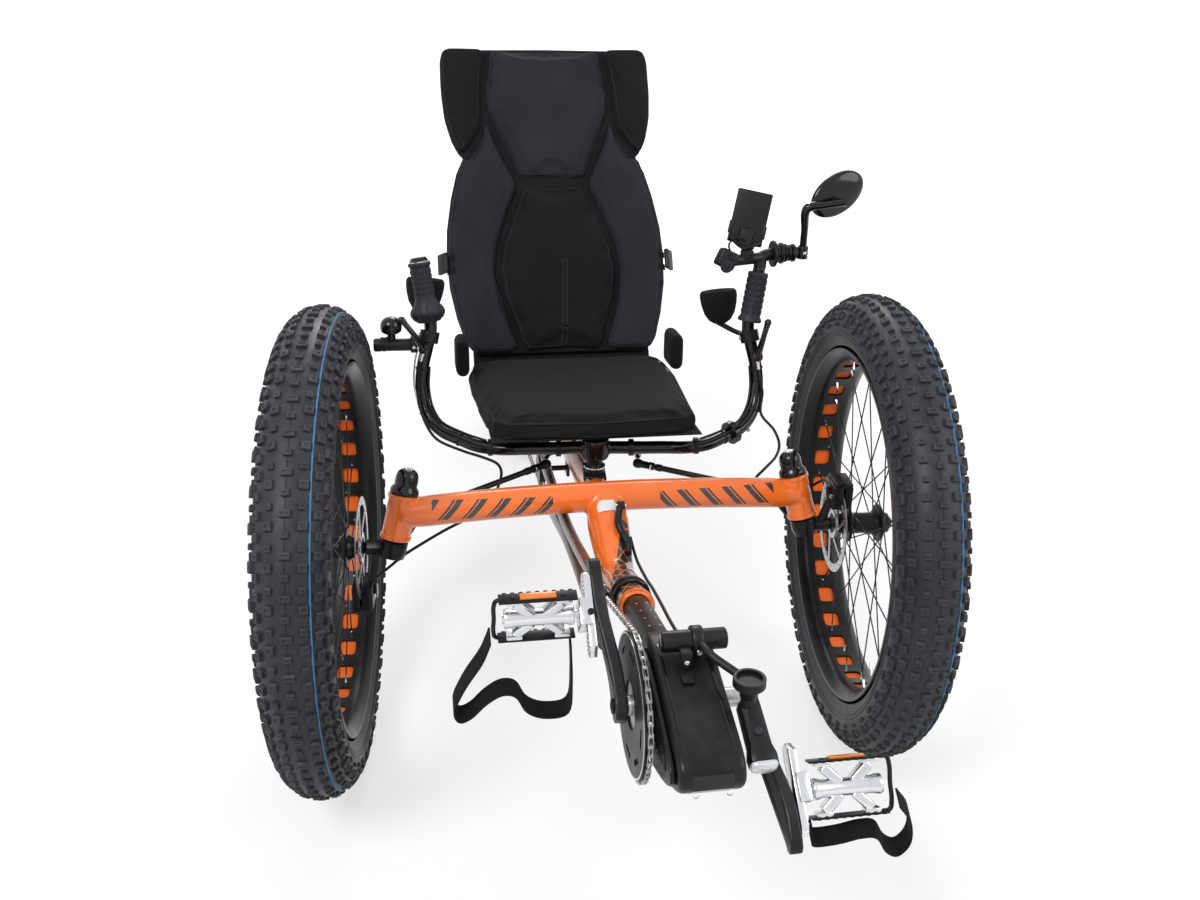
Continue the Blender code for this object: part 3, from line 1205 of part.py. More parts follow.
def tie_rod(name, side):
    """Steering link with a ball housing at each end."""
    inner, outer = ball_joint(side), knuckle_joint(side)
    along = (outer - inner).normalized()
    parts = [rod([inner + along * 0.006, outer - along * 0.006], 0.0050, 10),
             rod([inner - along * 0.002, inner + along * 0.030], 0.0085, 10),
             rod([outer + along * 0.002, outer - along * 0.026], 0.0085, 10)]
    return node("tie_rod_" + name, BLACK_METAL, parts, pivot=inner, carried_by=HANDLEBAR)


BRAKE_ROUTES = {
    1: ((0.2930, 0.1820, 0.5935), (0.2970, 0.1800, 0.5650), (0.3035, 0.1735, 0.5400),
        (0.3000, 0.1610, 0.5050), (0.3165, 0.1350, 0.4850), (0.3200, 0.1100, 0.4680),
        (0.3080, 0.0880, 0.4550), (0.2850, 0.0650, 0.4470), (0.2620, 0.0500, 0.4330),
        (0.2540, 0.0440, 0.4140), (0.2680, 0.0380, 0.4020), (0.2950, 0.0340, 0.4010),
        (0.3260, 0.0330, 0.4080), (0.3500, 0.0250, 0.4260), (0.3650, 0.0130, 0.4420),
        (0.3690, -0.0040, 0.4480)),
    -1: ((-0.2720, 0.2330, 0.6096), (-0.2790, 0.2320, 0.5800), (-0.2820, 0.2235, 0.5430),
         (-0.2775, 0.2070, 0.5080), (-0.2575, 0.1815, 0.4765), (-0.2180, 0.1580, 0.4630),
         (-0.1820, 0.1320, 0.4590), (-0.1600, 0.1090, 0.4560), (-0.1560, 0.0850, 0.4480),
         (-0.1650, 0.0600, 0.4330), (-0.1850, 0.0450, 0.4120), (-0.2150, 0.0400, 0.3940),
         (-0.2500, 0.0400, 0.3760), (-0.2850, 0.0390, 0.3560), (-0.3180, 0.0330, 0.3380),
         (-0.3480, 0.0200, 0.3200), (-0.3680, 0.0060, 0.3110)),
}


DRIVE_ROUTE = ((0.0265, -0.0850, 0.4100), (0.0292, -0.1250, 0.3930), (0.0315, -0.1850, 0.3940),
               (0.0310, -0.2300, 0.4040), (0.0280, -0.3000, 0.4200), (0.0250, -0.3600, 0.4330),
               (0.0240, -0.4100, 0.4430), (0.0250, -0.4440, 0.4480))


def cable(name, corners, steps):
    """A housed cable on a smooth route."""
    points = smooth_path(corners, steps)
    curve = bpy.data.curves.new(name, "CURVE")
    curve.dimensions = "3D"
    curve.bevel_depth = CABLE_R
    curve.bevel_resolution = 2
    curve.use_fill_caps = True
    spline = curve.splines.new("POLY")
    spline.points.add(len(points) - 1)
    for place, point in zip(spline.points, points):
        place.co = (*point, 1.0)
    piece = bpy.data.objects.new(name, curve)
    curve.materials.append(PLASTIC)
    bpy.context.scene.collection.objects.link(piece)
    piece.parent = trike
    return piece


def rest_on_ground_centred():
    """Move the whole trike so that its footprint box is centred on the origin."""
    bpy.context.view_layer.update()
    reach = [corner for piece in bpy.data.objects if piece.type in {"MESH", "CURVE"}
             for corner in [(piece.matrix_world @ Vector(c)).y for c in piece.bound_box]]
    trike.location = (0, -(min(reach) + max(reach)) / 2, 0)


# Assembly

front_frame()
rear_frame()
steering_post()
for label, side_sign in SIDES:
    kingpin_cap(label, side_sign)
    knuckle(label, side_sign)
    rim_and_hub("front_wheel_" + label, wheel_centre(side_sign), WHEEL_AXIS, HUB_HALF,
                -side_sign * (HUB_HALF + 0.007), AXLE_R, 0.026)
    tyre("front_tyre_" + label, wheel_centre(side_sign), WHEEL_AXIS)
rim_and_hub("rear_wheel", REAR_HUB, X, 0.060, 0.0, 0.0070, 0.040)
tyre("rear_tyre", REAR_HUB, X)

BOOM = boom()
boom_clamp()
boom_lever()
drive_unit()
drive_cover()
accessory_bar()
LAMP_MOUNT = lamp_mount()
lamp_body()
lamp_lens()
CHAINRING = chainring()
for label, side_sign in SIDES:
    crank(label, side_sign)
    shortener(label, side_sign)
    pedal = pedal_body(label, side_sign)
    pedal_cage(label, side_sign, pedal)
    pedal_strap(label, side_sign, pedal)

chain()
chain_tube("chain_tube_drive", [(TUBE_FRONT_Y, 0.4440), (-0.010, 0.3880), (0.100, 0.3800),
                                (TUBE_BACK_Y, 0.3770)])
chain_tube("chain_tube_return", [(TUBE_FRONT_Y, 0.3700), (-0.010, 0.3640), (0.100, 0.3450),
                                 (TUBE_BACK_Y, 0.3150)])
idler_wheel()
cassette()
rear_derailleur()

seat_frame()
seat_sling()
headrest_cushion()
back_cushion()
base_cushion()

HANDLEBAR = handlebar()
for label, side_sign in SIDES:
    cable("brake_cable_" + label, BRAKE_ROUTES[side_sign], 2)
    grip(label, side_sign)
    palm_rest(label, side_sign)
    brake_lever(label, side_sign)
    tie_rod(label, side_sign)
cable("drive_cable", DRIVE_ROUTE, 2)
bell()
display()
mirror_head(mirror_arm())

rest_on_ground_centred()
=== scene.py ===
import math
import bpy
from mathutils import Matrix, Vector


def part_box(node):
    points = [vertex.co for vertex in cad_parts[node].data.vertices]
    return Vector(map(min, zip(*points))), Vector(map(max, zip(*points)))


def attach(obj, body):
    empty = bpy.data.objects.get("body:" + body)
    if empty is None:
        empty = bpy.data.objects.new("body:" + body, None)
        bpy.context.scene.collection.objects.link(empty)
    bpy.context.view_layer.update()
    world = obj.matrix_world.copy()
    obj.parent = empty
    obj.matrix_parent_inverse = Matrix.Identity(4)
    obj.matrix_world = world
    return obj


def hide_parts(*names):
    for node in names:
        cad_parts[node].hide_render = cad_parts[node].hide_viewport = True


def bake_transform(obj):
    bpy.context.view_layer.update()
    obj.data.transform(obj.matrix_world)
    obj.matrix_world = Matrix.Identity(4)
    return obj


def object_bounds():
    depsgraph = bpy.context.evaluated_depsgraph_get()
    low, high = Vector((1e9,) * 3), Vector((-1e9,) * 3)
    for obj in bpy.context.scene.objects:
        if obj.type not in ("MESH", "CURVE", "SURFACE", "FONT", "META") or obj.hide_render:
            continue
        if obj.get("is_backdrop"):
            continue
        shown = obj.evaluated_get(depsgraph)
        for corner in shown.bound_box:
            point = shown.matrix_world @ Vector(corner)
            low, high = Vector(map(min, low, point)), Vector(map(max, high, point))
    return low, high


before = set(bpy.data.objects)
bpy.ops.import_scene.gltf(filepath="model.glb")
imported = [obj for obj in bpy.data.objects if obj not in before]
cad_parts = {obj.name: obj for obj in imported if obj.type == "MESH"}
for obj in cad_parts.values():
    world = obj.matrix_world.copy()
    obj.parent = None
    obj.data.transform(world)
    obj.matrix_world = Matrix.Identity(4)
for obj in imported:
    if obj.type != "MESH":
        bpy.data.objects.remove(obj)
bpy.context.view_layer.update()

X, Y, Z = (Vector((1, 0, 0)), Vector((0, 1, 0)), Vector((0, 0, 1)))
WHEEL_R, REAR_AXLE_Y, STEERING_Y = 0.3755, 1.25, 0.1
IDLER_Y, IDLER_Z, CRANK_Y, CRANK_Z = 0.33, 0.343, -0.525, 0.421
BACK_LEAN, BASE_LEAN, BOOM_LEAN = math.radians(58.1), math.radians(3.7), math.radians(11.3)
TYRE_LOW, TYRE_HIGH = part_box("rear_tyre")
SHIFT = round((TYRE_LOW[1] + TYRE_HIGH[1]) / 2 - REAR_AXLE_Y, 5)


def at(x, y, z):
    return Vector((x, y + SHIFT, z))


def mm(text):
    """Points in metres from points in millimetres, written as text."""
    return [tuple(float(n + "e-3") for n in point.split()) for point in text.split(",")]


def spots(text, place=at):
    """Places on the trike, written as text in millimetres."""
    return [place(*point) for point in mm(text)]


def rod_line(radius, low, high):
    """The profile of a plain round bar."""
    return [(0, low), (radius, low), (radius, high), (0, high)]


def ring_line(inner, outer, low, high):
    """The profile of a plain ring."""
    return [(inner, low), (outer, low), (outer, high), (inner, high), (inner, low)]


def screw_line(radius, tall, socket, top, floor):
    """The profile of a screw's head with a socket in it."""
    return [(0, 0), (radius, 0), (radius, tall), (socket, top), (socket, floor), (0, floor)]


# The camera stands in front of the trike, a little to its left and above it.

AZ, EL, ROLL = (math.radians(-9.98), math.radians(23.44), math.radians(1.39))
back = Vector((math.sin(AZ) * math.cos(EL), -math.cos(AZ) * math.cos(EL), math.sin(EL)))
right = Vector((math.cos(AZ), math.sin(AZ), 0))
up = back.cross(right)
across = right * math.cos(ROLL) + up * math.sin(ROLL)
above = up * math.cos(ROLL) - right * math.sin(ROLL)
bpy.ops.object.camera_add()
camera = bpy.context.object
camera.data.lens = 35.44
camera.data.clip_end = 200
camera.matrix_world = Matrix.Translation(at(-0.009, 0, 0.5209) + back * 1.84) @ Matrix((across,
    above, back)).transposed().to_4x4()
bpy.context.scene.camera = camera


# Shared effects

def group(name, inputs, outputs):
    tree = bpy.data.node_groups.new(name, "ShaderNodeTree")
    for label, kind in inputs:
        tree.interface.new_socket(label, in_out="INPUT", socket_type="NodeSocket" + kind)
    for label in outputs:
        tree.interface.new_socket(label, in_out="OUTPUT", socket_type="NodeSocketFloat")
    return (tree, tree.nodes.new("NodeGroupInput"), tree.nodes.new("NodeGroupOutput"))


def plug(tree, value, socket):
    if isinstance(value, (int, float, tuple)):
        socket.default_value = value
    else:
        tree.links.new(value, socket)


def sums(tree, operation, first, second=0.0, clamp=False):
    node = tree.nodes.new("ShaderNodeMath")
    node.operation = operation
    node.use_clamp = clamp
    plug(tree, first, node.inputs[0])
    plug(tree, second, node.inputs[1])
    return node.outputs[0]


def noise(tree, place, scale, detail=3.0):
    node = tree.nodes.new("ShaderNodeTexNoise")
    plug(tree, place, node.inputs["Vector"])
    plug(tree, scale, node.inputs["Scale"])
    node.inputs["Detail"].default_value = detail
    return node.outputs["Fac"]


def between(tree, value, low, high, out_low=0.0, out_high=1.0):
    node = tree.nodes.new("ShaderNodeMapRange")
    for socket, number in zip(node.inputs, (value, low, high, out_low, out_high)):
        plug(tree, number, socket)
    return node.outputs[0]


def blended(tree, share, first, second):
    node = tree.nodes.new("ShaderNodeMix")
    node.data_type = "RGBA"
    plug(tree, share, node.inputs["Factor"])
    plug(tree, first, node.inputs["A"])
    plug(tree, second, node.inputs["B"])
    return node.outputs["Result"]


def direct_rays(tree):
    """1 where a thing is seen straight, mirrored or through glass, 0 in the light it sheds."""
    seen = tree.nodes.new("ShaderNodeLightPath")
    direct = sums(tree, "MAXIMUM", seen.outputs["Is Camera Ray"], seen.outputs["Is Glossy Ray"])
    return sums(tree, "MAXIMUM", direct, seen.outputs["Is Transmission Ray"])


def preset(shader, values):
    """Set a shader's inputs by their names."""
    for label, value in values.items():
        shader.inputs[label].default_value = value


GRAIN, start, end = group("fine grain", (("Place", "Vector"), ("Size", "Float")), ("Height",
    "Patches"))
plug(GRAIN, noise(GRAIN, start.outputs["Place"], start.outputs["Size"], 4.0), end.inputs["Height"])
plug(GRAIN, between(GRAIN, noise(GRAIN, start.outputs["Place"], 9.0, 5.0), 0.35, 0.65),
    end.inputs["Patches"])

DUST, start, end = group("settled dust", (("Place", "Vector"),), ("Dust",))
facing = DUST.nodes.new("ShaderNodeNewGeometry").outputs["Normal"]
parts = DUST.nodes.new("ShaderNodeSeparateXYZ")
plug(DUST, facing, parts.inputs[0])
upward = between(DUST, parts.outputs["Z"], 0.2, 1.0)
speckle = between(DUST, noise(DUST, start.outputs["Place"], 60.0, 6.0), 0.42, 0.75)
plug(DUST, sums(DUST, "MULTIPLY", upward, speckle), end.inputs["Dust"])

# The woven threads' shade output is painted shade: colour darkened in the hollows between threads
# and lifted a little on their crowns, following the same height as the bump.
WEAVE, start, end = group("woven threads", (("Place", "Vector"), ("Size", "Float")), ("Height",
    "Shade"))
threads = []
for direction in ("X", "Y", "Z"):
    wave = WEAVE.nodes.new("ShaderNodeTexWave")
    wave.bands_direction = direction
    plug(WEAVE, start.outputs["Place"], wave.inputs["Vector"])
    plug(WEAVE, start.outputs["Size"], wave.inputs["Scale"])
    threads.append(wave.outputs["Fac"])
crossed = sums(WEAVE, "MULTIPLY", threads[0], threads[1])
crossed = sums(WEAVE, "ADD", crossed, sums(WEAVE, "MULTIPLY", threads[0], threads[2]))
plug(WEAVE, crossed, end.inputs["Height"])
plug(WEAVE, between(WEAVE, crossed, 0.0, 1.3, 0.75, 1.1), end.inputs["Shade"])


# Finishes

def shader_of(name):
    made = bpy.data.materials.new(name)
    made.use_nodes = True
    tree = made.node_tree
    return (made, tree, tree.nodes["Principled BSDF"])


def effect(tree, which, place, size=None):
    node = tree.nodes.new("ShaderNodeGroup")
    node.node_tree = which
    plug(tree, place, node.inputs["Place"])
    if size is not None:
        plug(tree, size, node.inputs["Size"])
    return node


def object_place(tree, turn=(0, 0, 0)):
    node = tree.nodes.new("ShaderNodeTexCoord")
    mapping = tree.nodes.new("ShaderNodeMapping")
    mapping.inputs["Rotation"].default_value = turn
    plug(tree, node.outputs["Object"], mapping.inputs["Vector"])
    return mapping.outputs["Vector"]


def raised(tree, shader, height, strength, distance):
    bump = tree.nodes.new("ShaderNodeBump")
    bump.inputs["Strength"].default_value = strength
    bump.inputs["Distance"].default_value = distance
    plug(tree, height, bump.inputs["Height"])
    plug(tree, bump.outputs["Normal"], shader.inputs["Normal"])


def hard(name, colour, second, rough, metallic=0.0, grain=900.0, bump=0.08, coat=0.0, dust=0.1):
    """Paint, plastic, rubber or metal: patches of a second shade, grain and a little dust."""
    made, tree, shader = shader_of(name)
    place = object_place(tree)
    fine = effect(tree, GRAIN, place, grain)
    tone = blended(tree, fine.outputs["Patches"], (*colour, 1), (*second, 1))
    dusty = sums(tree, "MULTIPLY", effect(tree, DUST, place).outputs["Dust"], dust)
    plug(tree, blended(tree, dusty, tone, (0.42, 0.39, 0.35, 1)), shader.inputs["Base Color"])
    plug(tree, between(tree, fine.outputs["Patches"], 0.0, 1.0, rough * 0.85, rough * 1.2),
        shader.inputs["Roughness"])
    preset(shader, {"Metallic": metallic, "Coat Weight": coat, "Coat Roughness": 0.08,
        "Specular IOR Level": 0.25})
    raised(tree, shader, fine.outputs["Height"], bump, 0.0004)
    return made


def cloth(name, colour, second, size, strength, turn=(0, 0, 0), rough=0.92):
    """Woven fabric with a thread pattern, painted shade between the threads with a faint painted
    highlight on their crowns, and faint worn patches.
    """
    made, tree, shader = shader_of(name)
    place = object_place(tree, turn)
    woven = effect(tree, WEAVE, place, size)
    fine = effect(tree, GRAIN, place, 700.0)
    tone = blended(tree, fine.outputs["Patches"], (*colour, 1), (*second, 1))
    # Painted shade: the cloth colour is scaled by the weave, darker between threads and a little
    # lighter on their crowns.
    shade = tree.nodes.new("ShaderNodeVectorMath")
    shade.operation = "SCALE"
    plug(tree, tone, shade.inputs[0])
    plug(tree, woven.outputs["Shade"], shade.inputs["Scale"])
    plug(tree, shade.outputs[0], shader.inputs["Base Color"])
    plug(tree, between(tree, fine.outputs["Height"], 0.3, 0.7, rough - 0.08, rough + 0.05),
        shader.inputs["Roughness"])
    preset(shader, {"Sheen Weight": 0.02, "Specular IOR Level": 0.2, "Sheen Roughness": 0.6})
    height = sums(tree, "ADD", woven.outputs["Height"], sums(tree, "MULTIPLY",
        fine.outputs["Height"], 0.6))
    raised(tree, shader, height, strength, 0.0006)
    return made


RUBBER = hard("tyre_tread", (0.026, 0.028, 0.033), (0.04, 0.042, 0.048), 0.62, grain=1400.0,
    bump=0.25, dust=0.16)
SIDEWALL = hard("tyre_sidewall", (0.02, 0.022, 0.027), (0.03, 0.032, 0.038), 0.48, grain=900.0,
    bump=0.15, dust=0.08)
BLUE_LINE = hard("blue_wear_line", (0.05, 0.17, 0.36), (0.07, 0.22, 0.42), 0.6)
BLACK_METAL = hard("black_anodised_metal", (0.005, 0.005, 0.006), (0.009, 0.009, 0.01), 0.32, 0.3,
    bump=0.05, dust=0.03)
GLOSS_BLACK = hard("gloss_black", (0.003, 0.003, 0.0035), (0.005, 0.005, 0.0055), 0.16, coat=0.25,
    bump=0.02, dust=0.015)
SATIN_BLACK = hard("satin_black_plastic", (0.005, 0.005, 0.006), (0.008, 0.008, 0.009), 0.38,
    bump=0.15, dust=0.025)
CRANK_GREY = hard("dark_grey_forging", (0.02, 0.021, 0.023), (0.03, 0.031, 0.034), 0.34, 0.7,
    bump=0.06, dust=0.04)
GRIP = hard("grip_rubber_blue_grey", (0.013, 0.014, 0.019), (0.019, 0.02, 0.027), 0.6, grain=1600.0,
    bump=0.3)
SILVER = hard("machined_aluminium", (0.72, 0.73, 0.75), (0.6, 0.61, 0.63), 0.22, 1.0, bump=0.06,
    dust=0.04)
STEEL = hard("spoke_steel", (0.5, 0.5, 0.51), (0.36, 0.36, 0.37), 0.3, 1.0, bump=0.05)
CHAIN_STEEL = hard("oiled_chain_steel", (0.46, 0.45, 0.44), (0.24, 0.23, 0.22), 0.3, 1.0)
SMOKED = hard("smoked_tube", (0.055, 0.03, 0.022), (0.085, 0.05, 0.038), 0.22, coat=0.4)
AMBER = hard("amber_reflector", (0.85, 0.26, 0.02), (0.7, 0.18, 0.01), 0.2, coat=0.6, bump=0.3,
    grain=500.0)
RED = hard("red_ring", (0.55, 0.02, 0.015), (0.45, 0.02, 0.02), 0.35)
WHITE = hard("white_marking", (0.8, 0.8, 0.78), (0.72, 0.72, 0.7), 0.4)
RIM_TAPE = hard("orange_rim_strip", (0.8, 0.13, 0.008), (0.7, 0.11, 0.006), 0.5)
SEAT_TURN = (-BACK_LEAN, 0, 0)
GREY_CLOTH = cloth("grey_seat_fabric", (0.021, 0.021, 0.026), (0.028, 0.028, 0.034), 260.0, 0.5,
    SEAT_TURN)
BLACK_CLOTH = cloth("black_seat_fabric", (0.0045, 0.0045, 0.005), (0.007, 0.007, 0.008), 260.0,
    0.45, SEAT_TURN)
BASE_CLOTH = cloth("black_base_fabric", (0.0045, 0.0045, 0.005), (0.007, 0.007, 0.008), 260.0, 0.35,
    (BASE_LEAN, 0, 0))
RIB_CLOTH = cloth("ribbed_channel_webbing", (0.007, 0.007, 0.008), (0.011, 0.011, 0.012), 90.0, 1.0,
    SEAT_TURN)
PIPING = cloth("dark_blue_piping", (0.014, 0.018, 0.026), (0.022, 0.028, 0.04), 500.0, 0.4)
WEBBING = cloth("black_webbing", (0.005, 0.005, 0.006), (0.008, 0.008, 0.009), 300.0, 0.7)

LENS, tree, shader = shader_of("clear_lens_cover")
preset(shader, {"Base Color": (0.92, 0.94, 0.96, 1), "Transmission Weight": 0.6, "Roughness": 0.06})
cut = tree.nodes.new("ShaderNodeTexVoronoi")
plug(tree, object_place(tree), cut.inputs["Vector"])
cut.inputs["Scale"].default_value = 320.0
raised(tree, shader, cut.outputs["Distance"], 0.5, 0.001)


BAR_LEAN, BARS_PER_M, BARS_FROM, BARS_TO, BAR_HALF_TALL = (0.9, 27.0, 0.085, 0.272, 0.0145)
COVER_FROM, COVER_TO, BOOM_RISE = (0.06, 0.262, 0.1998)


def painted_frame():
    """Orange paint with slanted dark-grey bars on the cross tube and a black underside in front."""
    made, tree, shader = shader_of("orange_frame_paint")
    place = object_place(tree)
    fine = effect(tree, GRAIN, place, 500.0)
    split = tree.nodes.new("ShaderNodeSeparateXYZ")
    plug(tree, place, split.inputs[0])
    x, y, z = split.outputs

    def op(operation, first, *others):
        for other in others or (0.0,):
            first = sums(tree, operation, first, other)
        return first

    side = op("ABSOLUTE", x)
    lean = op("ADD", side, op("MULTIPLY", z, BAR_LEAN))
    narrow = op("LESS_THAN", op("FRACT", op("MULTIPLY", lean, 3 * BARS_PER_M)), 0.16)
    bars = op("MULTIPLY", op("LESS_THAN", op("FRACT", op("MULTIPLY", lean, BARS_PER_M)), 0.5),
        op("SUBTRACT", 1.0, narrow), op("GREATER_THAN", side, BARS_FROM), op("LESS_THAN", side,
        BARS_TO), op("LESS_THAN", op("ABSOLUTE", op("SUBTRACT", z, 0.44)), BAR_HALF_TALL),
        op("LESS_THAN", y, SHIFT + 0.02))
    tube_z = op("ADD", 0.3862, op("MULTIPLY", op("SUBTRACT", SHIFT - 0.125, y), BOOM_RISE))
    below = op("SUBTRACT", z, op("ADD", tube_z, -0.0155))
    reach = op("MULTIPLY", op("SUBTRACT", SHIFT - COVER_FROM, y), 0.3)
    covered = op("GREATER_THAN", op("ADD", x, reach), 0.018)
    low = op("MULTIPLY", op("MAXIMUM", covered, op("LESS_THAN", below, 0.0)), op("LESS_THAN", y,
        SHIFT - COVER_FROM), op("GREATER_THAN", y, SHIFT - COVER_TO))
    crossed = 0.0
    for turn in (-1.3, 1.3):
        run = op("ADD", y, op("MULTIPLY", x, turn))
        crossed = op("MAXIMUM", crossed, op("LESS_THAN", op("FRACT", op("MULTIPLY", run, 38.0)),
            0.09))
    stripe = op("MULTIPLY", crossed, low)
    orange = blended(tree, fine.outputs["Patches"], (0.86, 0.15, 0.006, 1), (0.92, 0.17, 0.009, 1))
    tone = blended(tree, bars, orange, (0.022, 0.019, 0.019, 1))
    tone = blended(tree, low, tone, (0.012, 0.012, 0.013, 1))
    tone = blended(tree, stripe, tone, (0.75, 0.22, 0.03, 1))
    dusty = sums(tree, "MULTIPLY", effect(tree, DUST, place).outputs["Dust"], 0.06)
    plug(tree, blended(tree, dusty, tone, (0.55, 0.48, 0.4, 1)), shader.inputs["Base Color"])
    plug(tree, between(tree, fine.outputs["Patches"], 0.0, 1.0, 0.26, 0.34),
        shader.inputs["Roughness"])
    preset(shader, {"Coat Weight": 0.6, "Coat Roughness": 0.06})
    raised(tree, shader, fine.outputs["Height"], 0.05, 0.0004)
    return made


ORANGE = painted_frame()


# Ways of shaping

def deselect():
    if bpy.context.mode != "OBJECT":
        bpy.ops.object.mode_set(mode="OBJECT")
    bpy.ops.object.select_all(action="DESELECT")


def take(piece):
    deselect()
    piece.select_set(True)
    bpy.context.view_layer.objects.active = piece
    return piece


def edit(piece):
    take(piece)
    bpy.ops.object.mode_set(mode="EDIT")
    bpy.ops.mesh.select_all(action="SELECT")


def done():
    bpy.ops.object.mode_set(mode="OBJECT")


def smooth(piece, angle=35):
    take(piece)
    bpy.ops.object.shade_smooth_by_angle(angle=math.radians(angle), keep_sharp_edges=True)
    return piece


def applied(piece, kind, **values):
    take(piece)
    modifier = piece.modifiers.new(kind.title(), kind)
    for key, value in values.items():
        setattr(modifier, key, value)
    bpy.ops.object.modifier_apply(modifier=modifier.name)
    return piece


def bevelled(piece, width, segments, angle):
    return applied(piece, "BEVEL", width=width, segments=segments, limit_method="ANGLE",
        angle_limit=math.radians(angle), use_clamp_overlap=True)


def eased(piece, width, segments=2, angle=32):
    return smooth(bevelled(piece, width, segments, angle))


def softened(piece, voxel, rounds):
    applied(piece, "REMESH", mode="VOXEL", voxel_size=voxel)
    return applied(piece, "SMOOTH", factor=0.5, iterations=rounds)


def finer(piece, levels, kind="CATMULL_CLARK"):
    return applied(piece, "SUBSURF", subdivision_type=kind, levels=levels, render_levels=levels)


def all_smooth(piece):
    take(piece)
    bpy.ops.object.shade_smooth()
    return piece


def wrapped(piece, target, offset):
    return applied(piece, "SHRINKWRAP", target=target, offset=offset)


def moved(piece, by):
    edit(piece)
    bpy.ops.transform.translate(value=by)
    done()
    return piece


def stretched(piece, scale):
    take(piece)
    piece.scale = scale
    bpy.ops.object.transform_apply(location=False, rotation=False, scale=True)
    return piece


def settle(piece, origin, along=Z, sideways=None):
    """Turn the piece's own Z to a direction and its own X to another, and set it in place."""
    along = Vector(along).normalized()
    side = Vector(sideways) if sideways is not None else X if abs(along.x) < 0.9 else Y
    side = (side - along * side.dot(along)).normalized()
    take(piece)
    piece.matrix_world = Matrix.Translation(origin) @ Matrix((side, along.cross(side),
        along)).transposed().to_4x4()
    bpy.ops.object.transform_apply(location=True, rotation=True, scale=True)
    return piece


def line(name, points):
    """A chain of edges, drawn point by point."""
    points = [Vector(p) for p in points]
    deselect()
    bpy.ops.mesh.primitive_plane_add(size=0.01)
    piece = bpy.context.object
    piece.name = name
    piece.data.name = name
    bpy.ops.object.mode_set(mode="EDIT")
    bpy.ops.mesh.select_all(action="SELECT")
    bpy.ops.mesh.merge(type="CENTER")
    bpy.ops.transform.translate(value=points[0])
    for before, after in zip(points, points[1:]):
        bpy.ops.mesh.extrude_region_move(TRANSFORM_OT_translate={"value": after - before})
    done()
    return piece


def cleaned(piece):
    edit(piece)
    bpy.ops.mesh.remove_doubles(threshold=2e-05)
    bpy.ops.mesh.normals_make_consistent(inside=False)
    done()
    return piece


def turned(name, profile, origin=(0, 0, 0), axis=Z, steps=32, angle=35, sideways=None):
    """Spin a profile of (radius, distance along the axis)."""
    piece = line(name, [(r, 0, h) for r, h in profile])
    edit(piece)
    bpy.ops.mesh.spin(steps=steps, angle=2 * math.pi, center=(0, 0, 0), axis=(0, 0, 1))
    done()
    cleaned(piece)
    smooth(piece, angle)
    return settle(piece, origin, axis, sideways)


def plate(name, outline, thick, bevel=0.0, segments=2):
    """A flat shape in its own XY plane, given a thickness and eased edges."""
    piece = line(name, [(a, b, -thick / 2) for a, b in outline])
    edit(piece)
    bpy.ops.mesh.edge_face_add()
    bpy.ops.mesh.extrude_region_move(TRANSFORM_OT_translate={"value": (0, 0, thick)})
    done()
    cleaned(piece)
    return eased(piece, bevel, segments) if bevel else smooth(piece)


def block(name, size, origin=(0, 0, 0), along=Z, sideways=None, bevel=0.001, segments=2):
    deselect()
    bpy.ops.mesh.primitive_cube_add(size=1, scale=size)
    piece = bpy.context.object
    piece.name = name
    bpy.ops.object.transform_apply(location=False, rotation=False, scale=True)
    eased(piece, bevel, segments)
    return settle(piece, origin, along, sideways)


def tube(name, points, radius, sides=16, soft=True, steps=6):
    """A round bar that follows points; radius is one value or one for each point."""
    deselect()
    bpy.ops.curve.primitive_bezier_curve_add()
    piece = bpy.context.object
    piece.name = name
    bpy.ops.object.mode_set(mode="EDIT")
    bpy.ops.curve.select_all(action="SELECT")
    if len(points) > 2:
        bpy.ops.curve.subdivide(number_cuts=len(points) - 2)
    done()
    radii = radius if isinstance(radius, (list, tuple)) else [radius] * len(points)
    curve = piece.data
    knots = curve.splines[0].bezier_points
    for knot, point, size in zip(knots, points, radii):
        knot.handle_left_type = knot.handle_right_type = "AUTO" if soft else "VECTOR"
        knot.co = point
        knot.radius = size / max(radii)
    for knot, point in zip(knots, points):
        knot.co = point
    curve.resolution_u = steps
    curve.bevel_depth = max(radii)
    curve.bevel_resolution = sides // 4
    curve.use_fill_caps = True
    curve.dimensions = "3D"
    take(piece)
    bpy.ops.object.convert(target="MESH")
    piece = bpy.context.object
    piece.data.name = name
    settle(piece, (0, 0, 0))
    return smooth(cleaned(piece))


def joined(name, pieces):
    deselect()
    for piece in pieces:
        piece.select_set(True)
    bpy.context.view_layer.objects.active = pieces[0]
    if len(pieces) > 1:
        bpy.ops.object.join()
    pieces[0].name = name
    pieces[0].data.name = name
    return pieces[0]


def welded(name, pieces, voxel=0.0025, rounds=6):
    """Tubes grown together, with the small fillets of a weld."""
    return all_smooth(softened(joined(name, pieces), voxel, rounds))


def ring_of(piece, count, centre=(0, 0, 0), axis=(0, 0, 1)):
    """Repeat a piece in a circle."""
    edit(piece)
    bpy.ops.mesh.spin(steps=count - 1, dupli=True, angle=2 * math.pi * (count - 1) / count,
        center=centre, axis=axis)
    done()
    return piece


def pierced(piece, tool):
    applied(piece, "BOOLEAN", operation="DIFFERENCE", solver="EXACT", object=tool)
    bpy.data.objects.remove(tool)
    return smooth(piece)


def refined(name, node, bevel=0.0006, segments=2, angle=38):
    """A merged copy of a solid with eased edges."""
    piece = bpy.data.objects.new(name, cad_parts[node].data.copy())
    bpy.context.scene.collection.objects.link(piece)
    edit(piece)
    bpy.ops.mesh.remove_doubles(threshold=1e-05)
    bpy.ops.mesh.dissolve_limited(angle_limit=math.radians(2))
    done()
    return smooth(bevelled(piece, bevel, segments, angle), angle)


def dressed(piece, material, slot, nodes):
    """Give a piece its finish and hide the solids it stands for."""
    piece.data.materials.clear()
    piece.data.materials.append(material)
    if nodes:
        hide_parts(*nodes)
    return piece


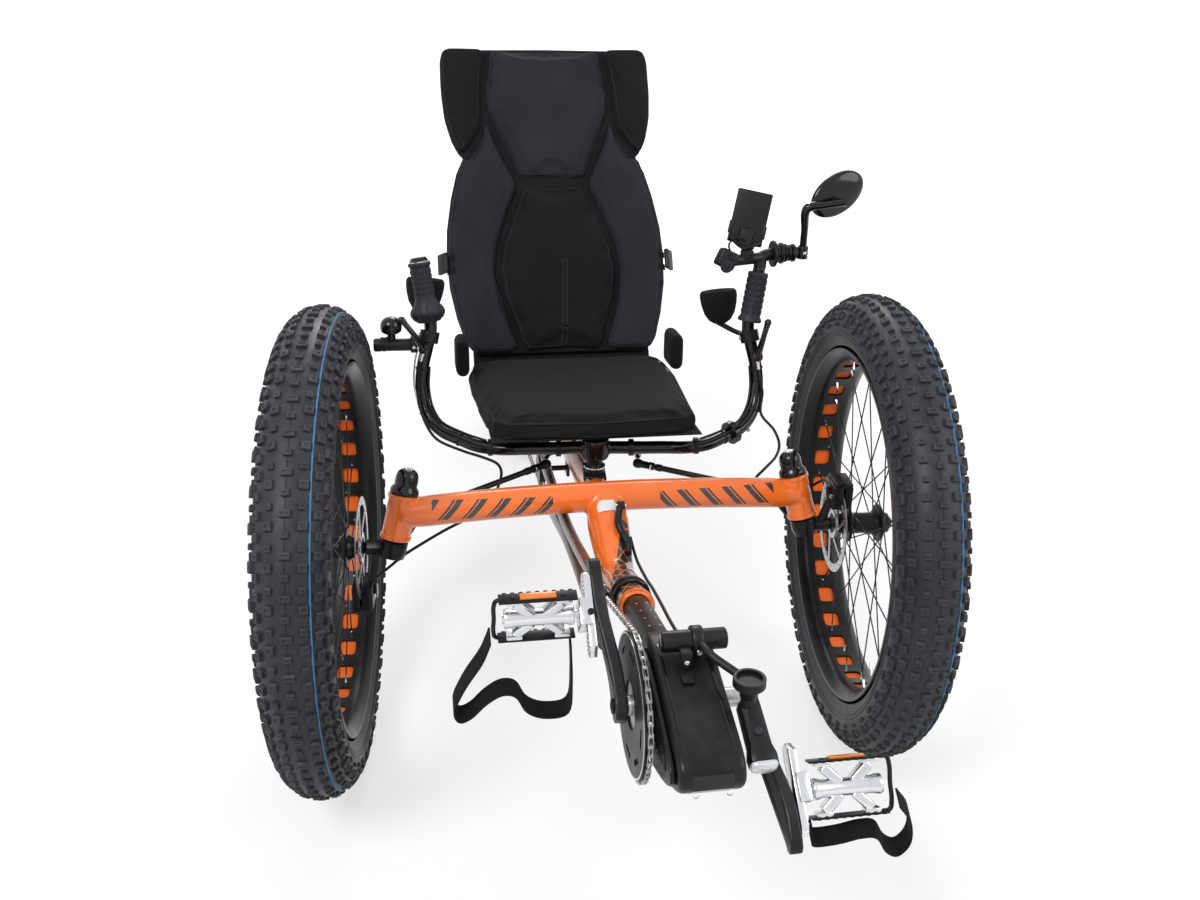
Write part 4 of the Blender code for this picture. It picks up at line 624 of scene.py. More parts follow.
def fitted(piece, material, body, slot="black_anodised", *nodes):
    """Dress a finished piece and let it move with a body."""
    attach(piece, body)
    return dressed(piece, material, slot, nodes)


def bending(piece, material, slot, ends, start, end, *nodes):
    """Dress a finished piece and bake its place into its mesh; the two bodies in ends are not used.
    """
    tuple(start)
    tuple(end)
    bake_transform(piece)
    return dressed(piece, material, slot, nodes)


def bowed(a, b, c, d, steps):
    """Points of a curve from b towards c, with a before and d after them."""
    return [0.5 * (2 * b + (c - a) * t + (2 * a - 5 * b + 4 * c - d) * t * t + (3 * b - a - 3 * c
        + d) * t ** 3) for t in (k / steps for k in range(steps))]


def through(points, steps=6):
    """Points of a curve through the given ones, closer together."""
    points = [Vector(p) for p in points]
    ends = [points[0] * 2 - points[1]] + points + [points[-1] * 2 - points[-2]]
    return sum((bowed(*ends[k - 1:k + 3], steps) for k in range(1, len(ends) - 2)),
        []) + points[-1:]


def band(name, points, width, thick):
    """A flat strap: a row of points drawn out sideways and given a thickness."""
    width = Vector(width)
    piece = line(name, [Vector(p) - width / 2 for p in points])
    edit(piece)
    bpy.ops.mesh.extrude_region_move(TRANSFORM_OT_translate={"value": width})
    done()
    cleaned(piece)
    applied(piece, "SOLIDIFY", thickness=thick, offset=0.0)
    return smooth(cleaned(piece), 50)


# Wheels and tyres

TREAD_MIDDLE, CASING_R, SEAM_R, RIDGE_R = (0.3215, 0.0495, 0.0007, 0.001)
UNITS, RIM_STEPS = (44, 96)
KINGPIN_X, WHEEL_OFFSET = (0.333, 0.098)
KINGPIN_LEAN, CASTER = (math.radians(13.7), math.radians(12.0))
REST_TURN = math.radians(5.2)


def turn_right(v):
    c, s = (math.cos(REST_TURN), math.sin(REST_TURN))
    x, y, z = v
    return Vector((x * c + y * s, y * c - x * s, z))


WHEEL_AXIS = turn_right(X)


def kingpin(side, z):
    rise = z - WHEEL_R
    return at(side * (KINGPIN_X - rise * math.tan(KINGPIN_LEAN)),
        -0.008 + rise * math.tan(CASTER), z)


def kingpin_axis(side):
    return (kingpin(side, 1.0) - kingpin(side, 0.0)).normalized()


def wheel_centre(side):
    return kingpin(side, WHEEL_R) + WHEEL_AXIS * side * WHEEL_OFFSET


def on_section(radius, degrees):
    a = math.radians(degrees)
    return (TREAD_MIDDLE + radius * math.cos(a), radius * math.sin(a))


def knob(angle, forward, wide, long, tall):
    """One tread block with bevelled edges and a recessed top, standing on the casing."""
    deselect()
    bpy.ops.mesh.primitive_cube_add(size=1, scale=(wide, long, tall + 0.002), location=(0, 0, (tall
        - 0.002) / 2))
    piece = bpy.context.object
    bpy.ops.object.transform_apply(location=True, rotation=False, scale=True)
    bpy.ops.object.mode_set(mode="EDIT")
    bpy.ops.mesh.select_all(action="DESELECT")
    done()
    for face in piece.data.polygons:
        face.select = face.normal.z > 0.9
    bpy.ops.object.mode_set(mode="EDIT")
    bpy.ops.mesh.select_mode(type="FACE")
    bpy.ops.mesh.inset(thickness=0.0011, depth=0.0009)
    bpy.ops.mesh.inset(thickness=min(wide, long) * 0.2, depth=0.0)
    bpy.ops.mesh.inset(thickness=0.0007, depth=-0.0012)
    bpy.ops.mesh.select_mode(type="VERT")
    done()
    a = math.radians(angle)
    radial, axial = (math.cos(a), math.sin(a))
    origin = Vector((TREAD_MIDDLE + CASING_R * radial, forward, CASING_R * axial))
    settle(piece, origin, (radial, 0, axial), (-axial, 0, radial))
    return piece


MIDDLE_KNOBS = ((0, -0.0135, 0.015, 0.0095, 0.0036), (0, 0.0135, 0.0105, 0.0085, 0.0036))
SIDE_KNOBS = ((25, 0.002, 0.0125, 0.012, 0.0036), (24, -0.0225, 0.009, 0.0085, 0.0034), (48, -0.012,
    0.012, 0.011, 0.0036), (49, 0.015, 0.0095, 0.012, 0.0036), (68, 0.002, 0.014, 0.0155, 0.004),
    (69, 0.0245, 0.009, 0.0085, 0.0034), (84, -0.01, 0.006, 0.013, 0.0022))
TREAD = [*MIDDLE_KNOBS, *((way * angle, *rest) for angle, *rest in SIDE_KNOBS for way in (1, -1))]


def make_tyre(name, centre, axis, body):
    outer = [on_section(CASING_R, a) for a in range(-126, 127, 12)]
    inner = [on_section(0.0455, a) for a in range(126, -127, -21)]
    casing = turned(name + "_casing", outer + inner + [outer[0]], (0, 0, 0), Z, 96, 50)
    blocks = joined(name + "_tread", [knob(*row) for row in TREAD])
    ring_of(blocks, UNITS)
    ridges = []
    for degrees in (97, 104, -97, -104):
        r, h = on_section(CASING_R + 0.0001, degrees)
        ridges.append(turned("ridge", [(r + RIDGE_R * math.cos(a), h + RIDGE_R * math.sin(a))
            for a in (0, 1.05, 2.09, 3.14, 4.19, 5.24, 0)], steps=RIM_STEPS))
    r, h = on_section(CASING_R + 0.0002, 0.0)
    seam = [turned("seam", [(r + SEAM_R * math.cos(a), h + SEAM_R * math.sin(a)) for a in (0, 1.57,
        3.14, 4.71, 0)], steps=RIM_STEPS)]
    stripe = [on_section(CASING_R + 0.0016, a) for a in (34.5, 36.7)]
    stripe += [on_section(CASING_R - 0.001, a) for a in (36.7, 34.5)]
    blue = turned(name + "_wear_line", stripe + stripe[:1], steps=RIM_STEPS)
    wall = joined(name + "_wall_rings", ridges + seam)
    for piece in (casing, blocks, wall, blue):
        settle(piece, centre, axis, Z)
    fitted(casing, SIDEWALL, body, "tyre_rubber", name)
    fitted(blocks, RUBBER, body, "tyre_rubber")
    fitted(wall, SIDEWALL, body, "tyre_rubber")
    fitted(blue, BLUE_LINE, body, "tyre_rubber")


def make_wheel(name, centre, axis, half_hub, flange_at, rotor_at, body):
    half = mm("289 40.5, 288 42.6, 283 42.4, 276.5 37.5, 270.5 30, 268.8 26.2, 268.2 18")
    inside = mm("272.2 18, 274.5 27, 279.5 35, 286.6 39.8")
    profile = half + [(r, -h) for r, h in reversed(half)] + [(r, -h) for r,
        h in reversed(inside)] + inside + half[:1]
    rim = turned(name + "_rim", profile, (0, 0, 0), Z, 96, 30)
    corners = []
    for sx, sy in ((1, 1), (-1, 1), (-1, -1), (1, -1)):
        for step in range(4):
            a = math.atan2(sy, sx) - math.pi / 4 + step * math.pi / 6
            corners.append((sx * 0.0075 + 0.006 * math.cos(a), sy * 0.0085 + 0.006 * math.sin(a)))
    tool = plate("window", corners, 0.02)
    settle(tool, (0.27, 0, 0), X, Z)
    ring_of(tool, 32)
    cleaned(tool)
    pierced(rim, tool)
    strip = turned(name + "_rim_strip", ring_line(0.2724, 0.2736, -0.0178, 0.0178), steps=RIM_STEPS)
    spokes, nipples = ([], [])
    for k, (way, lean) in enumerate(((1, 1), (-1, 1), (1, -1), (-1, -1))):
        a = math.radians(11.25 * (k + 0.5))
        b = a + math.radians(lean * 62)
        foot = Vector((0.029 * math.cos(b), 0.029 * math.sin(b), way * flange_at))
        head = Vector((0.269 * math.cos(a), 0.269 * math.sin(a), way * 0.005))
        spokes.append(tube("spoke", [foot, head], 0.0011, 6, soft=False))
        toward = (foot - head).normalized()
        nipples.append(turned("nipple", mm("0 0, 2.2 0, 2.2 3, 1.6 4, 1.6 14, 0 14.5"), head,
            toward, 8))
    spokes = ring_of(joined(name + "_spokes", spokes), 8)
    nipples = ring_of(joined(name + "_nipples", nipples), 8)
    f, h = (flange_at, half_hub)
    hub = turned(name + "_hub", [(0.01, -h), (0.015, -h), (0.0165, 0.0015 - h), (0.0165, 0.006 - h),
        (0.021, -f - 0.0035), (0.0305, -f - 0.0022), (0.031, -f), (0.0305, 0.0022 - f), (0.0215,
        0.0045 - f), (0.0175, 0.01 - f), (0.017, 0), (0.0175, f - 0.01), (0.0215, f - 0.0045),
        (0.0305, f - 0.0022), (0.031, f), (0.0305, f + 0.0022), (0.021, f + 0.0035), (0.0165, h
        - 0.006), (0.0165, h - 0.0015), (0.015, h), (0.01, h), (0.01, -h)], (0, 0, 0), Z, 48, 30)
    holes = turned("holes", rod_line(0.0014, -0.08, 0.08), (0.0275, 0, 0), Z, 8)
    pierced(hub, ring_of(holes, 16))
    made = [(rim, BLACK_METAL, "black_anodised", (name,)), (strip, RIM_TAPE, "orange_paint", ()),
        (spokes, BLACK_METAL, "black_anodised", ()), (nipples, SILVER, "bright_aluminium", ()),
        (hub, BLACK_METAL, "black_anodised", ())]
    if rotor_at is not None:
        t = 0.0009
        disc = turned(name + "_rotor", ring_line(0.067, 0.0798, -t, t), steps=72)
        tool = turned("holes", rod_line(0.0019, -0.01, 0.01), (0.0708, 0, 0), Z, 10)
        more = turned("holes", rod_line(0.0019, -0.01, 0.01), (0.076, 0.007, 0), Z, 10)
        pierced(disc, ring_of(joined("holes", [tool, more]), 24))
        arm = block("arm", (0.046, 0.005, 0.0017), (0.0445, 0.006, 0), bevel=0.0003)
        take(arm)
        bpy.ops.transform.rotate(value=math.radians(14), orient_axis="Z", center_override=(0.0445,
            0.006, 0))
        arms = ring_of(arm, 6)
        carrier = turned("carrier", ring_line(0.017, 0.0245, -0.0022, 0.0022), steps=32)
        rotor = take(joined(name + "_rotor", [disc, arms, carrier]))
        bpy.ops.transform.translate(value=(0, 0, rotor_at))
        made.append((rotor, STEEL, "bright_aluminium", ()))
    for piece, look, slot, nodes in made:
        take(piece)
        bpy.ops.object.transform_apply(location=True, rotation=True, scale=True)
        settle(piece, centre, axis, Z)
        fitted(piece, look, body, slot, *nodes)


for word, side in (("left", 1), ("right", -1)):
    body = "front_wheel_" + word
    make_wheel("front_wheel_" + word, wheel_centre(side), WHEEL_AXIS, 0.042, 0.026, -side * 0.049,
        body)
    make_tyre("front_tyre_" + word, wheel_centre(side), WHEEL_AXIS, body)
make_wheel("rear_wheel", at(0, REAR_AXLE_Y, WHEEL_R), X, 0.06, 0.04, None, "rear_wheel")
make_tyre("rear_tyre", at(0, REAR_AXLE_Y, WHEEL_R), X, "rear_wheel")

lower = turn_right((0, math.cos(math.radians(236)), math.sin(math.radians(236))))
fitted(turned("valve_collar_left", ring_line(0.003, 0.007, 0, 0.004), wheel_centre(1) + lower
    * 0.264, lower, 20), RED, "front_wheel_left", "bright_aluminium")
fitted(turned("valve_stem_left", mm("0 0, 2 0, 2.8 4, 2.8 40, 0 40"), wheel_centre(1) + lower
    * 0.228, lower, 12), STEEL, "front_wheel_left", "bright_aluminium")


# Frame

def steered(x, y, z):
    c, s = (math.cos(REST_TURN), math.sin(REST_TURN))
    dy = y - STEERING_Y
    return at(x * c + dy * s, STEERING_Y + dy * c - x * s, z)


BOOM_FRONT, BOOM_BACK = (-0.468, -0.16)


def boom_point(y):
    return at(0, y, 0.4395 + (BOOM_FRONT - y) * math.tan(BOOM_LEAN))


def cross_z(x):
    return 0.441 - 0.014 * (x / KINGPIN_X) ** 2


SIDES = (("left", 1), ("right", -1))

tubes = [tube("cross_tube", [at(0.318 * k / 8, 0, cross_z(0.318 * k / 8)) for k in range(-8, 9)],
    [0.0245 * (0.88 if abs(k) == 8 else 1.0) for k in range(-8, 9)], 32), tube("front_tube", [at(0,
    0, 0.436), at(0, -0.04, 0.41), at(0, -0.082, 0.387), boom_point(-0.125), boom_point(-0.185),
    boom_point(-0.23), boom_point(-0.275)], [0.029, 0.033, 0.03, 0.0262, 0.0245, 0.0245, 0.0245],
    32), tube("back_tube", spots("0 0 437, 0 60 418, 0 150 397, 0 300 383, 0 500 365"), 0.0225, 28)]
for word, side in SIDES:
    low, top = (kingpin(side, 0.389), kingpin(side, 0.458))
    tall = (top - low).length
    tubes.append(turned("head_tube", rod_line(0.0225, 0, tall), low, kingpin_axis(side), 40))
frame_piece = welded("front_frame_tubes", tubes, 0.0026, 7)
bores = [turned("bore", rod_line(0.0197, 0, 0.18), boom_point(-0.14), boom_point(-0.3)
    - boom_point(-0.14), 40)]
for word, side in SIDES:
    bores.append(turned("bore", rod_line(0.0116, -0.02, 0.12), kingpin(side, 0.38),
        kingpin_axis(side), 24))
pierced(frame_piece, joined("bores", bores))
take(frame_piece)
bpy.ops.object.shade_smooth_by_angle(angle=math.radians(45), keep_sharp_edges=False)
fitted(frame_piece, ORANGE, "frame", "orange_paint", "front_frame")

fitted(turned("front_tube_lip", mm("19.7 -3, 26.2 -3, 26.6 -1, 26.2 1.2, 19.7 1.2, 19.7 -3"),
    boom_point(-0.272), boom_point(-0.3) - boom_point(-0.155), 40), ORANGE, "frame", "orange_paint")
for word, side in SIDES:
    tall = 0.006
    for z in (0.3895, 0.4515):
        fitted(turned("head_ring_" + word + ("_low" if z < 0.4 else "_high"), [(0.012, 0), (0.0236,
            0), (0.0241, 0.0012), (0.0241, tall - 0.0012), (0.0236, tall), (0.012, tall), (0.012,
            0)], kingpin(side, z), kingpin_axis(side), 40), ORANGE, "frame", "orange_paint")
plaque = plate("blank_front_plaque", mm("-24 0, -17 10.5, 17 10.5, 24 0, 17 -10.5, -17 -10.5"),
    0.0012)
settle(finer(plaque, 4, "SIMPLE"), at(-0.006, -0.048, 0.455), (0, -0.72, 0.69), X)
fitted(wrapped(plaque, frame_piece, 0.0013), WHITE, "frame", "orange_paint")

idler = at(0, IDLER_Y, IDLER_Z)
bracket = block("idler_bracket", (0.006, 0.024, 0.052), idler + Vector((-0.012, 0, 0.012)),
    bevel=0.002)
pin = turned("idler_pin", rod_line(0.005, 0, 0.052), idler - X * 0.01, -X, 20)
fitted(joined("idler_bracket", [bracket, pin]), BLACK_METAL, "frame")

stays = [tube("rear_main", spots("0 502 364.8, 0 640 359, 0 790 352"), 0.0225, 28), tube("yoke",
    spots("-101 790 352, 0 790 352, 101 790 352"), 0.018, 28)]
for word, side in SIDES:
    stays.append(tube("stay", [at(side * 0.097, 0.786, 0.352), at(side * 0.103, 0.9, 0.354), at(side
        * 0.103, 1.07, 0.364), at(side * 0.103, REAR_AXLE_Y, WHEEL_R)],
        [0.0165, 0.015, 0.013, 0.0115], 24))
    stays.append(block("dropout", (0.009, 0.062, 0.046), at(side * 0.103, 1.262, WHEEL_R),
        bevel=0.003))
fitted(welded("rear_frame_tubes", stays, 0.0028, 7), ORANGE, "frame", "orange_paint", "rear_frame")
fitted(turned("rear_axle", mm("0 -112, 8.5 -112, 8.5 -106, 7 -106, 7 106, 8.5 106, 8.5 112, "
    "0 112"), at(0, REAR_AXLE_Y, WHEEL_R), X, 20), SILVER, "frame", "orange_paint")
fitted(block("derailleur_hanger", (0.006, 0.018, 0.046), at(-0.0925, 1.268, 0.346), bevel=0.002),
    BLACK_METAL, "frame", "orange_paint")

post = steered(0, STEERING_Y, 0.424)
column = turned("steering_post_column", mm("0 0, 16.5 0, 16.5 3, 15.8 5, 15.8 24, 13 26, 13 40, "
    "0 40"), post, Z, 36)
clamp = block("steering_clamp", (0.038, 0.044, 0.011), post + Z * 0.009, Z, turn_right(X), 0.003, 3)
bolts = []
for dx in (-0.013, 0.013):
    bolts.append(turned("bolt", screw_line(0.0034, 0.0028, 0.002, 0.0034, 0.0016), post
        + turn_right((dx, -0.0225, 0.009)), -turn_right(Y), 14))
fitted(joined("steering_post_body", [column, clamp]), SATIN_BLACK, "frame", "black_anodised",
    "steering_post")
ring = turned("steering_ring", ring_line(0.013, 0.0178, 0, 0.0022), post + Z * 0.0245, Z, 36)
fitted(joined("steering_bolts", bolts + [ring]), SILVER, "frame", "bright_aluminium")

for word, side in SIDES:
    cap = turned("kingpin_dome_" + word, mm("0 0.3, 20.5 0.3, 22.2 1.8, 22.5 4.5, 21 9, 18 12, "
        "17.6 15.5, 18 18.5, 17.6 27, 16 33, 12.5 37.2, 9 39.2, 0 39.5"), kingpin(side, 0.458),
        kingpin_axis(side), 48, 50)
    fitted(cap, GLOSS_BLACK, "frame", "black_anodised", "kingpin_cap_" + word)
    lobes = [0.0072 + 0.0016 * math.cos(6 * a) for a in [2 * math.pi * k / 36 for k in range(36)]]
    star = plate("star_" + word, [(r * math.cos(2 * math.pi * k / 36), r * math.sin(2 * math.pi * k
        / 36)) for k, r in enumerate(lobes)], 0.0022, 0.0004)
    settle(star, kingpin(side, 0.458) + kingpin_axis(side) * 0.0402, kingpin_axis(side))
    fitted(star, SILVER, "frame", "bright_aluminium")


# Seat

BACK_UP = Vector((0, math.cos(BACK_LEAN), math.sin(BACK_LEAN)))
BACK_OUT = X.cross(BACK_UP)
BASE_BACK = Vector((0, math.cos(-BASE_LEAN), math.sin(-BASE_LEAN)))
BASE_UP = X.cross(BASE_BACK)
CREASE = at(0, 0.47, 0.522)
DEPTH = 0.034


def on_back(x, s, depth):
    return CREASE + X * x + BACK_UP * s - BACK_OUT * depth


def on_base(x, s, depth):
    return CREASE + X * x - BASE_BACK * s - BASE_UP * depth


def mirrored(outline):
    return list(outline) + [(-x, s) for x, s in reversed(outline) if x > 0]


def drawn_in(outline, by):
    area = sum((a[0] * b[1] - b[0] * a[1] for a, b in zip(outline, outline[1:] + outline[:1])))
    way = 1 if area > 0 else -1
    row = []
    for k, (x, y) in enumerate(outline):
        before, after = (outline[k - 1], outline[(k + 1) % len(outline)])
        one = Vector((x - before[0], y - before[1])).normalized()
        two = Vector((after[0] - x, after[1] - y)).normalized()
        out = Vector((-(one.y + two.y), one.x + two.x))
        out = out.normalized() * way if out.length > 1e-06 else Vector((0, 0))
        row.append((x + out.x * by, y + out.y * by))
    return row


def swollen(piece, low, cap):
    """Inflate a pad that is held along its flat underside."""
    held = piece.vertex_groups.new(name="held")
    held.add([v.index for v in piece.data.vertices if v.co.z < low], 1.0, "REPLACE")
    fabric = piece.modifiers.new("Cloth", "CLOTH")
    settings = fabric.settings
    settings.quality = 4
    settings.mass = 0.3
    settings.use_pressure = True
    settings.uniform_pressure_force = 4.0
    settings.effector_weights.gravity = 0
    settings.vertex_group_mass = "held"
    fabric.point_cache.frame_start = 1
    fabric.point_cache.frame_end = 20
    before = [v.co.copy() for v in piece.data.vertices]
    for number in range(1, 21):
        bpy.context.scene.frame_set(number)
    grown = piece.evaluated_get(bpy.context.evaluated_depsgraph_get()).to_mesh()
    after = [v.co.copy() for v in grown.vertices]
    piece.modifiers.remove(fabric)
    for vertex, was, now in zip(piece.data.vertices, before, after):
        step = now - was
        if step.length > cap:
            step *= cap / step.length
        vertex.co = was + step
    bpy.context.scene.frame_set(1)


def stuffed(name, outline, thick, cap=0.008, inset=0.004, voxel=0.005):
    """A crowned pad, flat underneath, made about its own XY plane from z = 0 up."""
    piece = plate(name, drawn_in(outline, inset), thick * 0.74, 0.007, 3)
    moved(piece, (0, 0, thick * 0.37))
    softened(piece, voxel, 3)
    swollen(piece, 0.0015, cap)
    return all_smooth(finer(piece, 1))


def piped(name, panel, outline, height, origin, out, inset=0.0055, radius=0.0012):
    """The thin cord sewn along a panel's edge, held to the panel."""
    row = drawn_in(outline, inset)
    guide = line("guide", [Vector((x, y, height)) for x, y in row])
    settle(guide, origin, out, X)
    held = []
    for vertex in guide.data.vertices:
        _, spot, normal, _ = panel.closest_point_on_mesh(vertex.co)
        held.append(spot + normal * 0.0003)
    bpy.data.objects.remove(guide)
    return tube(name, held + held[:1], radius, 8, soft=False)


HEAD = mirrored(mm("0 350, 45 350, 66 353, 88 400, 110 455, 124 495, 127 530, 121 580, 113 622, "
    "100 630, 0 632"))
WING = mm("183 405, 198 435, 209 480, 213 530, 213 600, 206 626, 190 631, 130 630, 114 622, "
    "122 580, 128 530, 129 490, 136 455, 165 412")
CENTRE = mirrored(mm("0 3, 70 3, 83 20, 95 55, 112 110, 119 165, 113 215, 92 275, 70 325, 60 344, "
    "0 345"))
SIDE = mm("175 6, 190 30, 205 80, 216 140, 219 200, 216 255, 205 320, 192 370, 182 398, 160 406, "
    "134 446, 123.5 480, 110 448, 90 398, 70 350, 71.5 330, 93.5 279, 114.5 217, 120.5 165, "
    "113 108, 96 53, 83.5 15, 100 5")
BASE = mirrored(mm("0 4, 150 4, 184 20, 195 60, 197 150, 190 250, 184 330, 176 376, 150 403, "
    "0 415"))
BED = mirrored(mm("0 6, 165 6, 185 30, 200 80, 211 140, 214 200, 211 255, 200 320, 187 370, "
    "172 402, 181 412, 193 437, 204 480, 208 530, 208 600, 200 622, 186 627, 0 629"))


def flipped(outline):
    return [(-x, s) for x, s in reversed(outline)]


PANELS = (("headrest_panel", HEAD, GREY_CLOTH, "grey_fabric", "headrest_cushion"),
    ("headrest_wing_left", WING, BLACK_CLOTH, "black_fabric", None), ("headrest_wing_right",
    flipped(WING), BLACK_CLOTH, "black_fabric", None), ("back_centre_panel", CENTRE, BLACK_CLOTH,
    "black_fabric", "back_cushion"), ("back_side_panel_left", SIDE, GREY_CLOTH, "grey_fabric",
    None), ("back_side_panel_right", flipped(SIDE), GREY_CLOTH, "grey_fabric", None))
panel_pieces = {}
for name, outline, look, slot, node in PANELS:
    panel = stuffed(name, outline, DEPTH)
    settle(panel, on_back(0, 0, DEPTH), BACK_OUT, X)
    fitted(panel, look, "frame", slot, *([node] if node else []))
    panel_pieces[name] = panel
    fitted(piped(name + "_piping", panel, outline, 0.03, on_back(0, 0, DEPTH), BACK_OUT), PIPING,
        "frame", slot)

bed = plate("back_channel_bed", BED, 0.012, 0.003)
settle(bed, on_back(0, 0, 0.0285), BACK_OUT, X)
fitted(bed, RIB_CLOTH, "frame", "black_fabric")

seat_base = stuffed("seat_base_pad", [(x, -s) for x, s in reversed(BASE)], DEPTH, 0.009)
settle(seat_base, on_base(0, 0, DEPTH), BASE_UP, X)
fitted(seat_base, BASE_CLOTH, "frame", "black_fabric", "base_cushion")
for k, (height, inset) in enumerate(((-0.01, -0.004), (0.034, 0.006))):
    fitted(piped(f"seat_base_piping_{k + 1}", seat_base, [(x, -s) for x, s in reversed(BASE)],
        height, on_base(0, 0, DEPTH), BASE_UP, inset, 0.0014), PIPING, "frame", "black_fabric")
for word, side in SIDES:
    bolster = block("bolster", (0.025, 0.078, 0.068), bevel=0.011, segments=4)
    all_smooth(finer(softened(bolster, 0.004, 8), 1))
    bolster.name = "seat_bolster_" + word
    settle(bolster, on_base(side * 0.199, 0.062, -0.018), BASE_UP, X)
    fitted(bolster, BASE_CLOTH, "frame", "black_fabric")
    for s in (0.19, 0.215):
        fitted(block(f"side_strap_{word}_{int(s * 1000)}", (0.022, 0.012, 0.0014), on_back(side
            * 0.208, s - 0.02, 0.012), BACK_OUT + X * side * 1.4, X - BACK_OUT * side, 0.0004),
            WEBBING, "frame", "black_webbing")
    fitted(block("side_buckle_" + word, (0.026, 0.04, 0.008), on_back(side * 0.222, 0.185, 0.016),
        BACK_OUT + X * side * 1.4, X - BACK_OUT * side, 0.0025, 3), SATIN_BLACK, "frame",
        "black_plastic")


def laid_on(name, points, target, width, look, slot, offset=0.0007):
    """A flat tape that follows the surface of a panel."""
    tape = finer(band(name, points, width, 0.0008), 2, "SIMPLE")
    return fitted(cleaned(wrapped(tape, target, offset)), look, "frame", slot)


slit = [on_back(0.013 - 0.012 * k / 12, 0.187 - 0.18 * k / 12, -0.002) for k in range(13)]
laid_on("back_centre_slit_lips", slit, panel_pieces["back_centre_panel"], X * 0.011, GREY_CLOTH,
    "black_fabric")
laid_on("back_centre_slit", slit, panel_pieces["back_centre_panel"], X * 0.005, BASE_CLOTH,
    "black_fabric", 0.0014)

row = [on_back(0, s, 0.0368) for s in (0.62, 0.48, 0.34, 0.2, 0.07, 0.03)]
row += [CREASE + Vector((0, 0.015, -0.037))]
row += [on_base(0, s, 0.0368) for s in (0.02, 0.08, 0.18, 0.29, 0.4)]
row = through(row, 5)
sling = band("seat_sling_sheet", row, X * 0.344, 0.0022)
length = sum(((b - a).length for a, b in zip(row, row[1:])))
fitted(sling, RIB_CLOTH, "frame", "black_webbing", "seat_sling")

RAIL_X, RAIL_DEPTH = (0.16, 0.0516)
rails = []
for word, side in SIDES:
    x = side * RAIL_X
    rails.append(tube("rail", [on_back(x, s, RAIL_DEPTH) for s in (0.625, 0.4, 0.1, 0.03)]
        + [CREASE + Vector((x, 0.02, -0.052))]
        + [on_base(x, s, RAIL_DEPTH) for s in (0.03, 0.13, 0.238)], 0.01, 24))
for place, row in ((on_base, (0.06, 0.226)), (on_back, (0.2, 0.605))):
    for s in row:
        rails.append(tube("crossbar", [place(way * RAIL_X, s, RAIL_DEPTH) for way in (-1, 1)],
            0.0085, 20, soft=False))
for word, side in SIDES:
    low = at(side * 0.091, 0.79, 0.3702)
    rails.append(tube("strut", [on_back(side * RAIL_X, 0.36, RAIL_DEPTH),
        low + Vector((side * 0.006, -0.004, 0.06)), low + Z * 0.02, low], 0.008, 20))
bar = on_base(0, 0.06, RAIL_DEPTH)
rails.append(block("saddle_block", (0.03, 0.03, bar.z - 0.391), Vector((0, bar.y, (bar.z + 0.391)
    / 2)), bevel=0.003))
fitted(welded("seat_frame_tubes", rails, 0.0028, 6), GLOSS_BLACK, "frame", "black_paint",
    "seat_frame")
for s in [0.05 + 0.035 * k for k in range(16)]:
    fitted(tube(f"back_lacing_{int(s * 1000)}", [on_back(-0.152, s, 0.0425), on_back(0, s + 0.006,
        0.0432), on_back(0.152, s, 0.0425)], 0.0017, 8), WEBBING, "frame", "black_webbing")


# Boom, clamp and lever

boom_run = boom_point(BOOM_FRONT) - boom_point(BOOM_BACK)
boom_way = boom_run.normalized()
fitted(turned("boom_tube", [(0.0165, 0), (0.0188, 0), (0.019, 0.001), (0.019, boom_run.length),
    (0, 0.314), (0, 0.3), (0.0165, 0.3), (0.0165, 0)], boom_point(BOOM_BACK), boom_way, 48),
    SATIN_BLACK, "boom", "black_paint", "boom")
for k in range(9):
    y = -0.3 - 0.014 * k
    wide = 0.01 if k % 2 else 0.016
    fitted(block(f"boom_tick_{k}", (wide, 0.0012, 0.0006), boom_point(y) + Vector((0, -0.0037,
        0.01885)), boom_way.cross(-X), X, 0.0001), WHITE, "boom", "black_paint")
fitted(block("boom_centre_line", (0.0012, 0.15, 0.0006), boom_point(-0.362) + Vector((0, -0.0037,
    0.01885)), boom_way.cross(-X), X, 0.0001), WHITE, "boom", "black_paint")

fitted(refined("boom_clamp_ring", "boom_clamp", 0.0012, 3), BLACK_METAL, "frame", "black_anodised",
    "boom_clamp")
fitted(turned("clamp_black_ring", mm("24.8 -3.5, 29.2 -3.5, 29.6 0, 29.2 3.5, 24.8 3.5, "
    "24.8 -3.5"), boom_point(-0.226), boom_way, 48), SATIN_BLACK, "frame")
fitted(turned("clamp_bolt", screw_line(0.0045, 0.004, 0.0026, 0.0044, 0.002), boom_point(-0.241)
    + Vector((0.0125, 0, -0.036)), X, 20), SILVER, "frame")

hinge = at(0.0172, -0.048, 0.4468)
lever = tube("boom_lever_blade", through([hinge + Vector((0, 0.004, 0.001)), at(0.0085, -0.08,
    0.4314), at(0.019, -0.1, 0.4109), at(0.0165, -0.122, 0.4019)], 3), 0.0056, 16)
fitted(lever, SATIN_BLACK, "boom_lever", "black_anodised", "boom_lever")
fitted(turned("boom_lever_hub", mm("0 -6, 6 -6, 7 -4, 7 4, 6 6, 0 6"), hinge, X, 28), SATIN_BLACK,
    "boom_lever")
fitted(turned("boom_lever_pin", mm("0 -8.2, 2.6 -8.2, 3 -6.2, 3 6.2, 2.6 8.2, 0 8.2"), hinge, X,
    20), SILVER, "boom_lever")


# Drive unit

AXLE = at(0, CRANK_Y, CRANK_Z)
OUTLINE = mm("-452 469, -470 483, -505 482.5, -560 467.5, -615 453, -655 440, -669 427, -670 408, "
    "-652 391, -600 368, -540 350, -490 352, -458 385, -446 430")


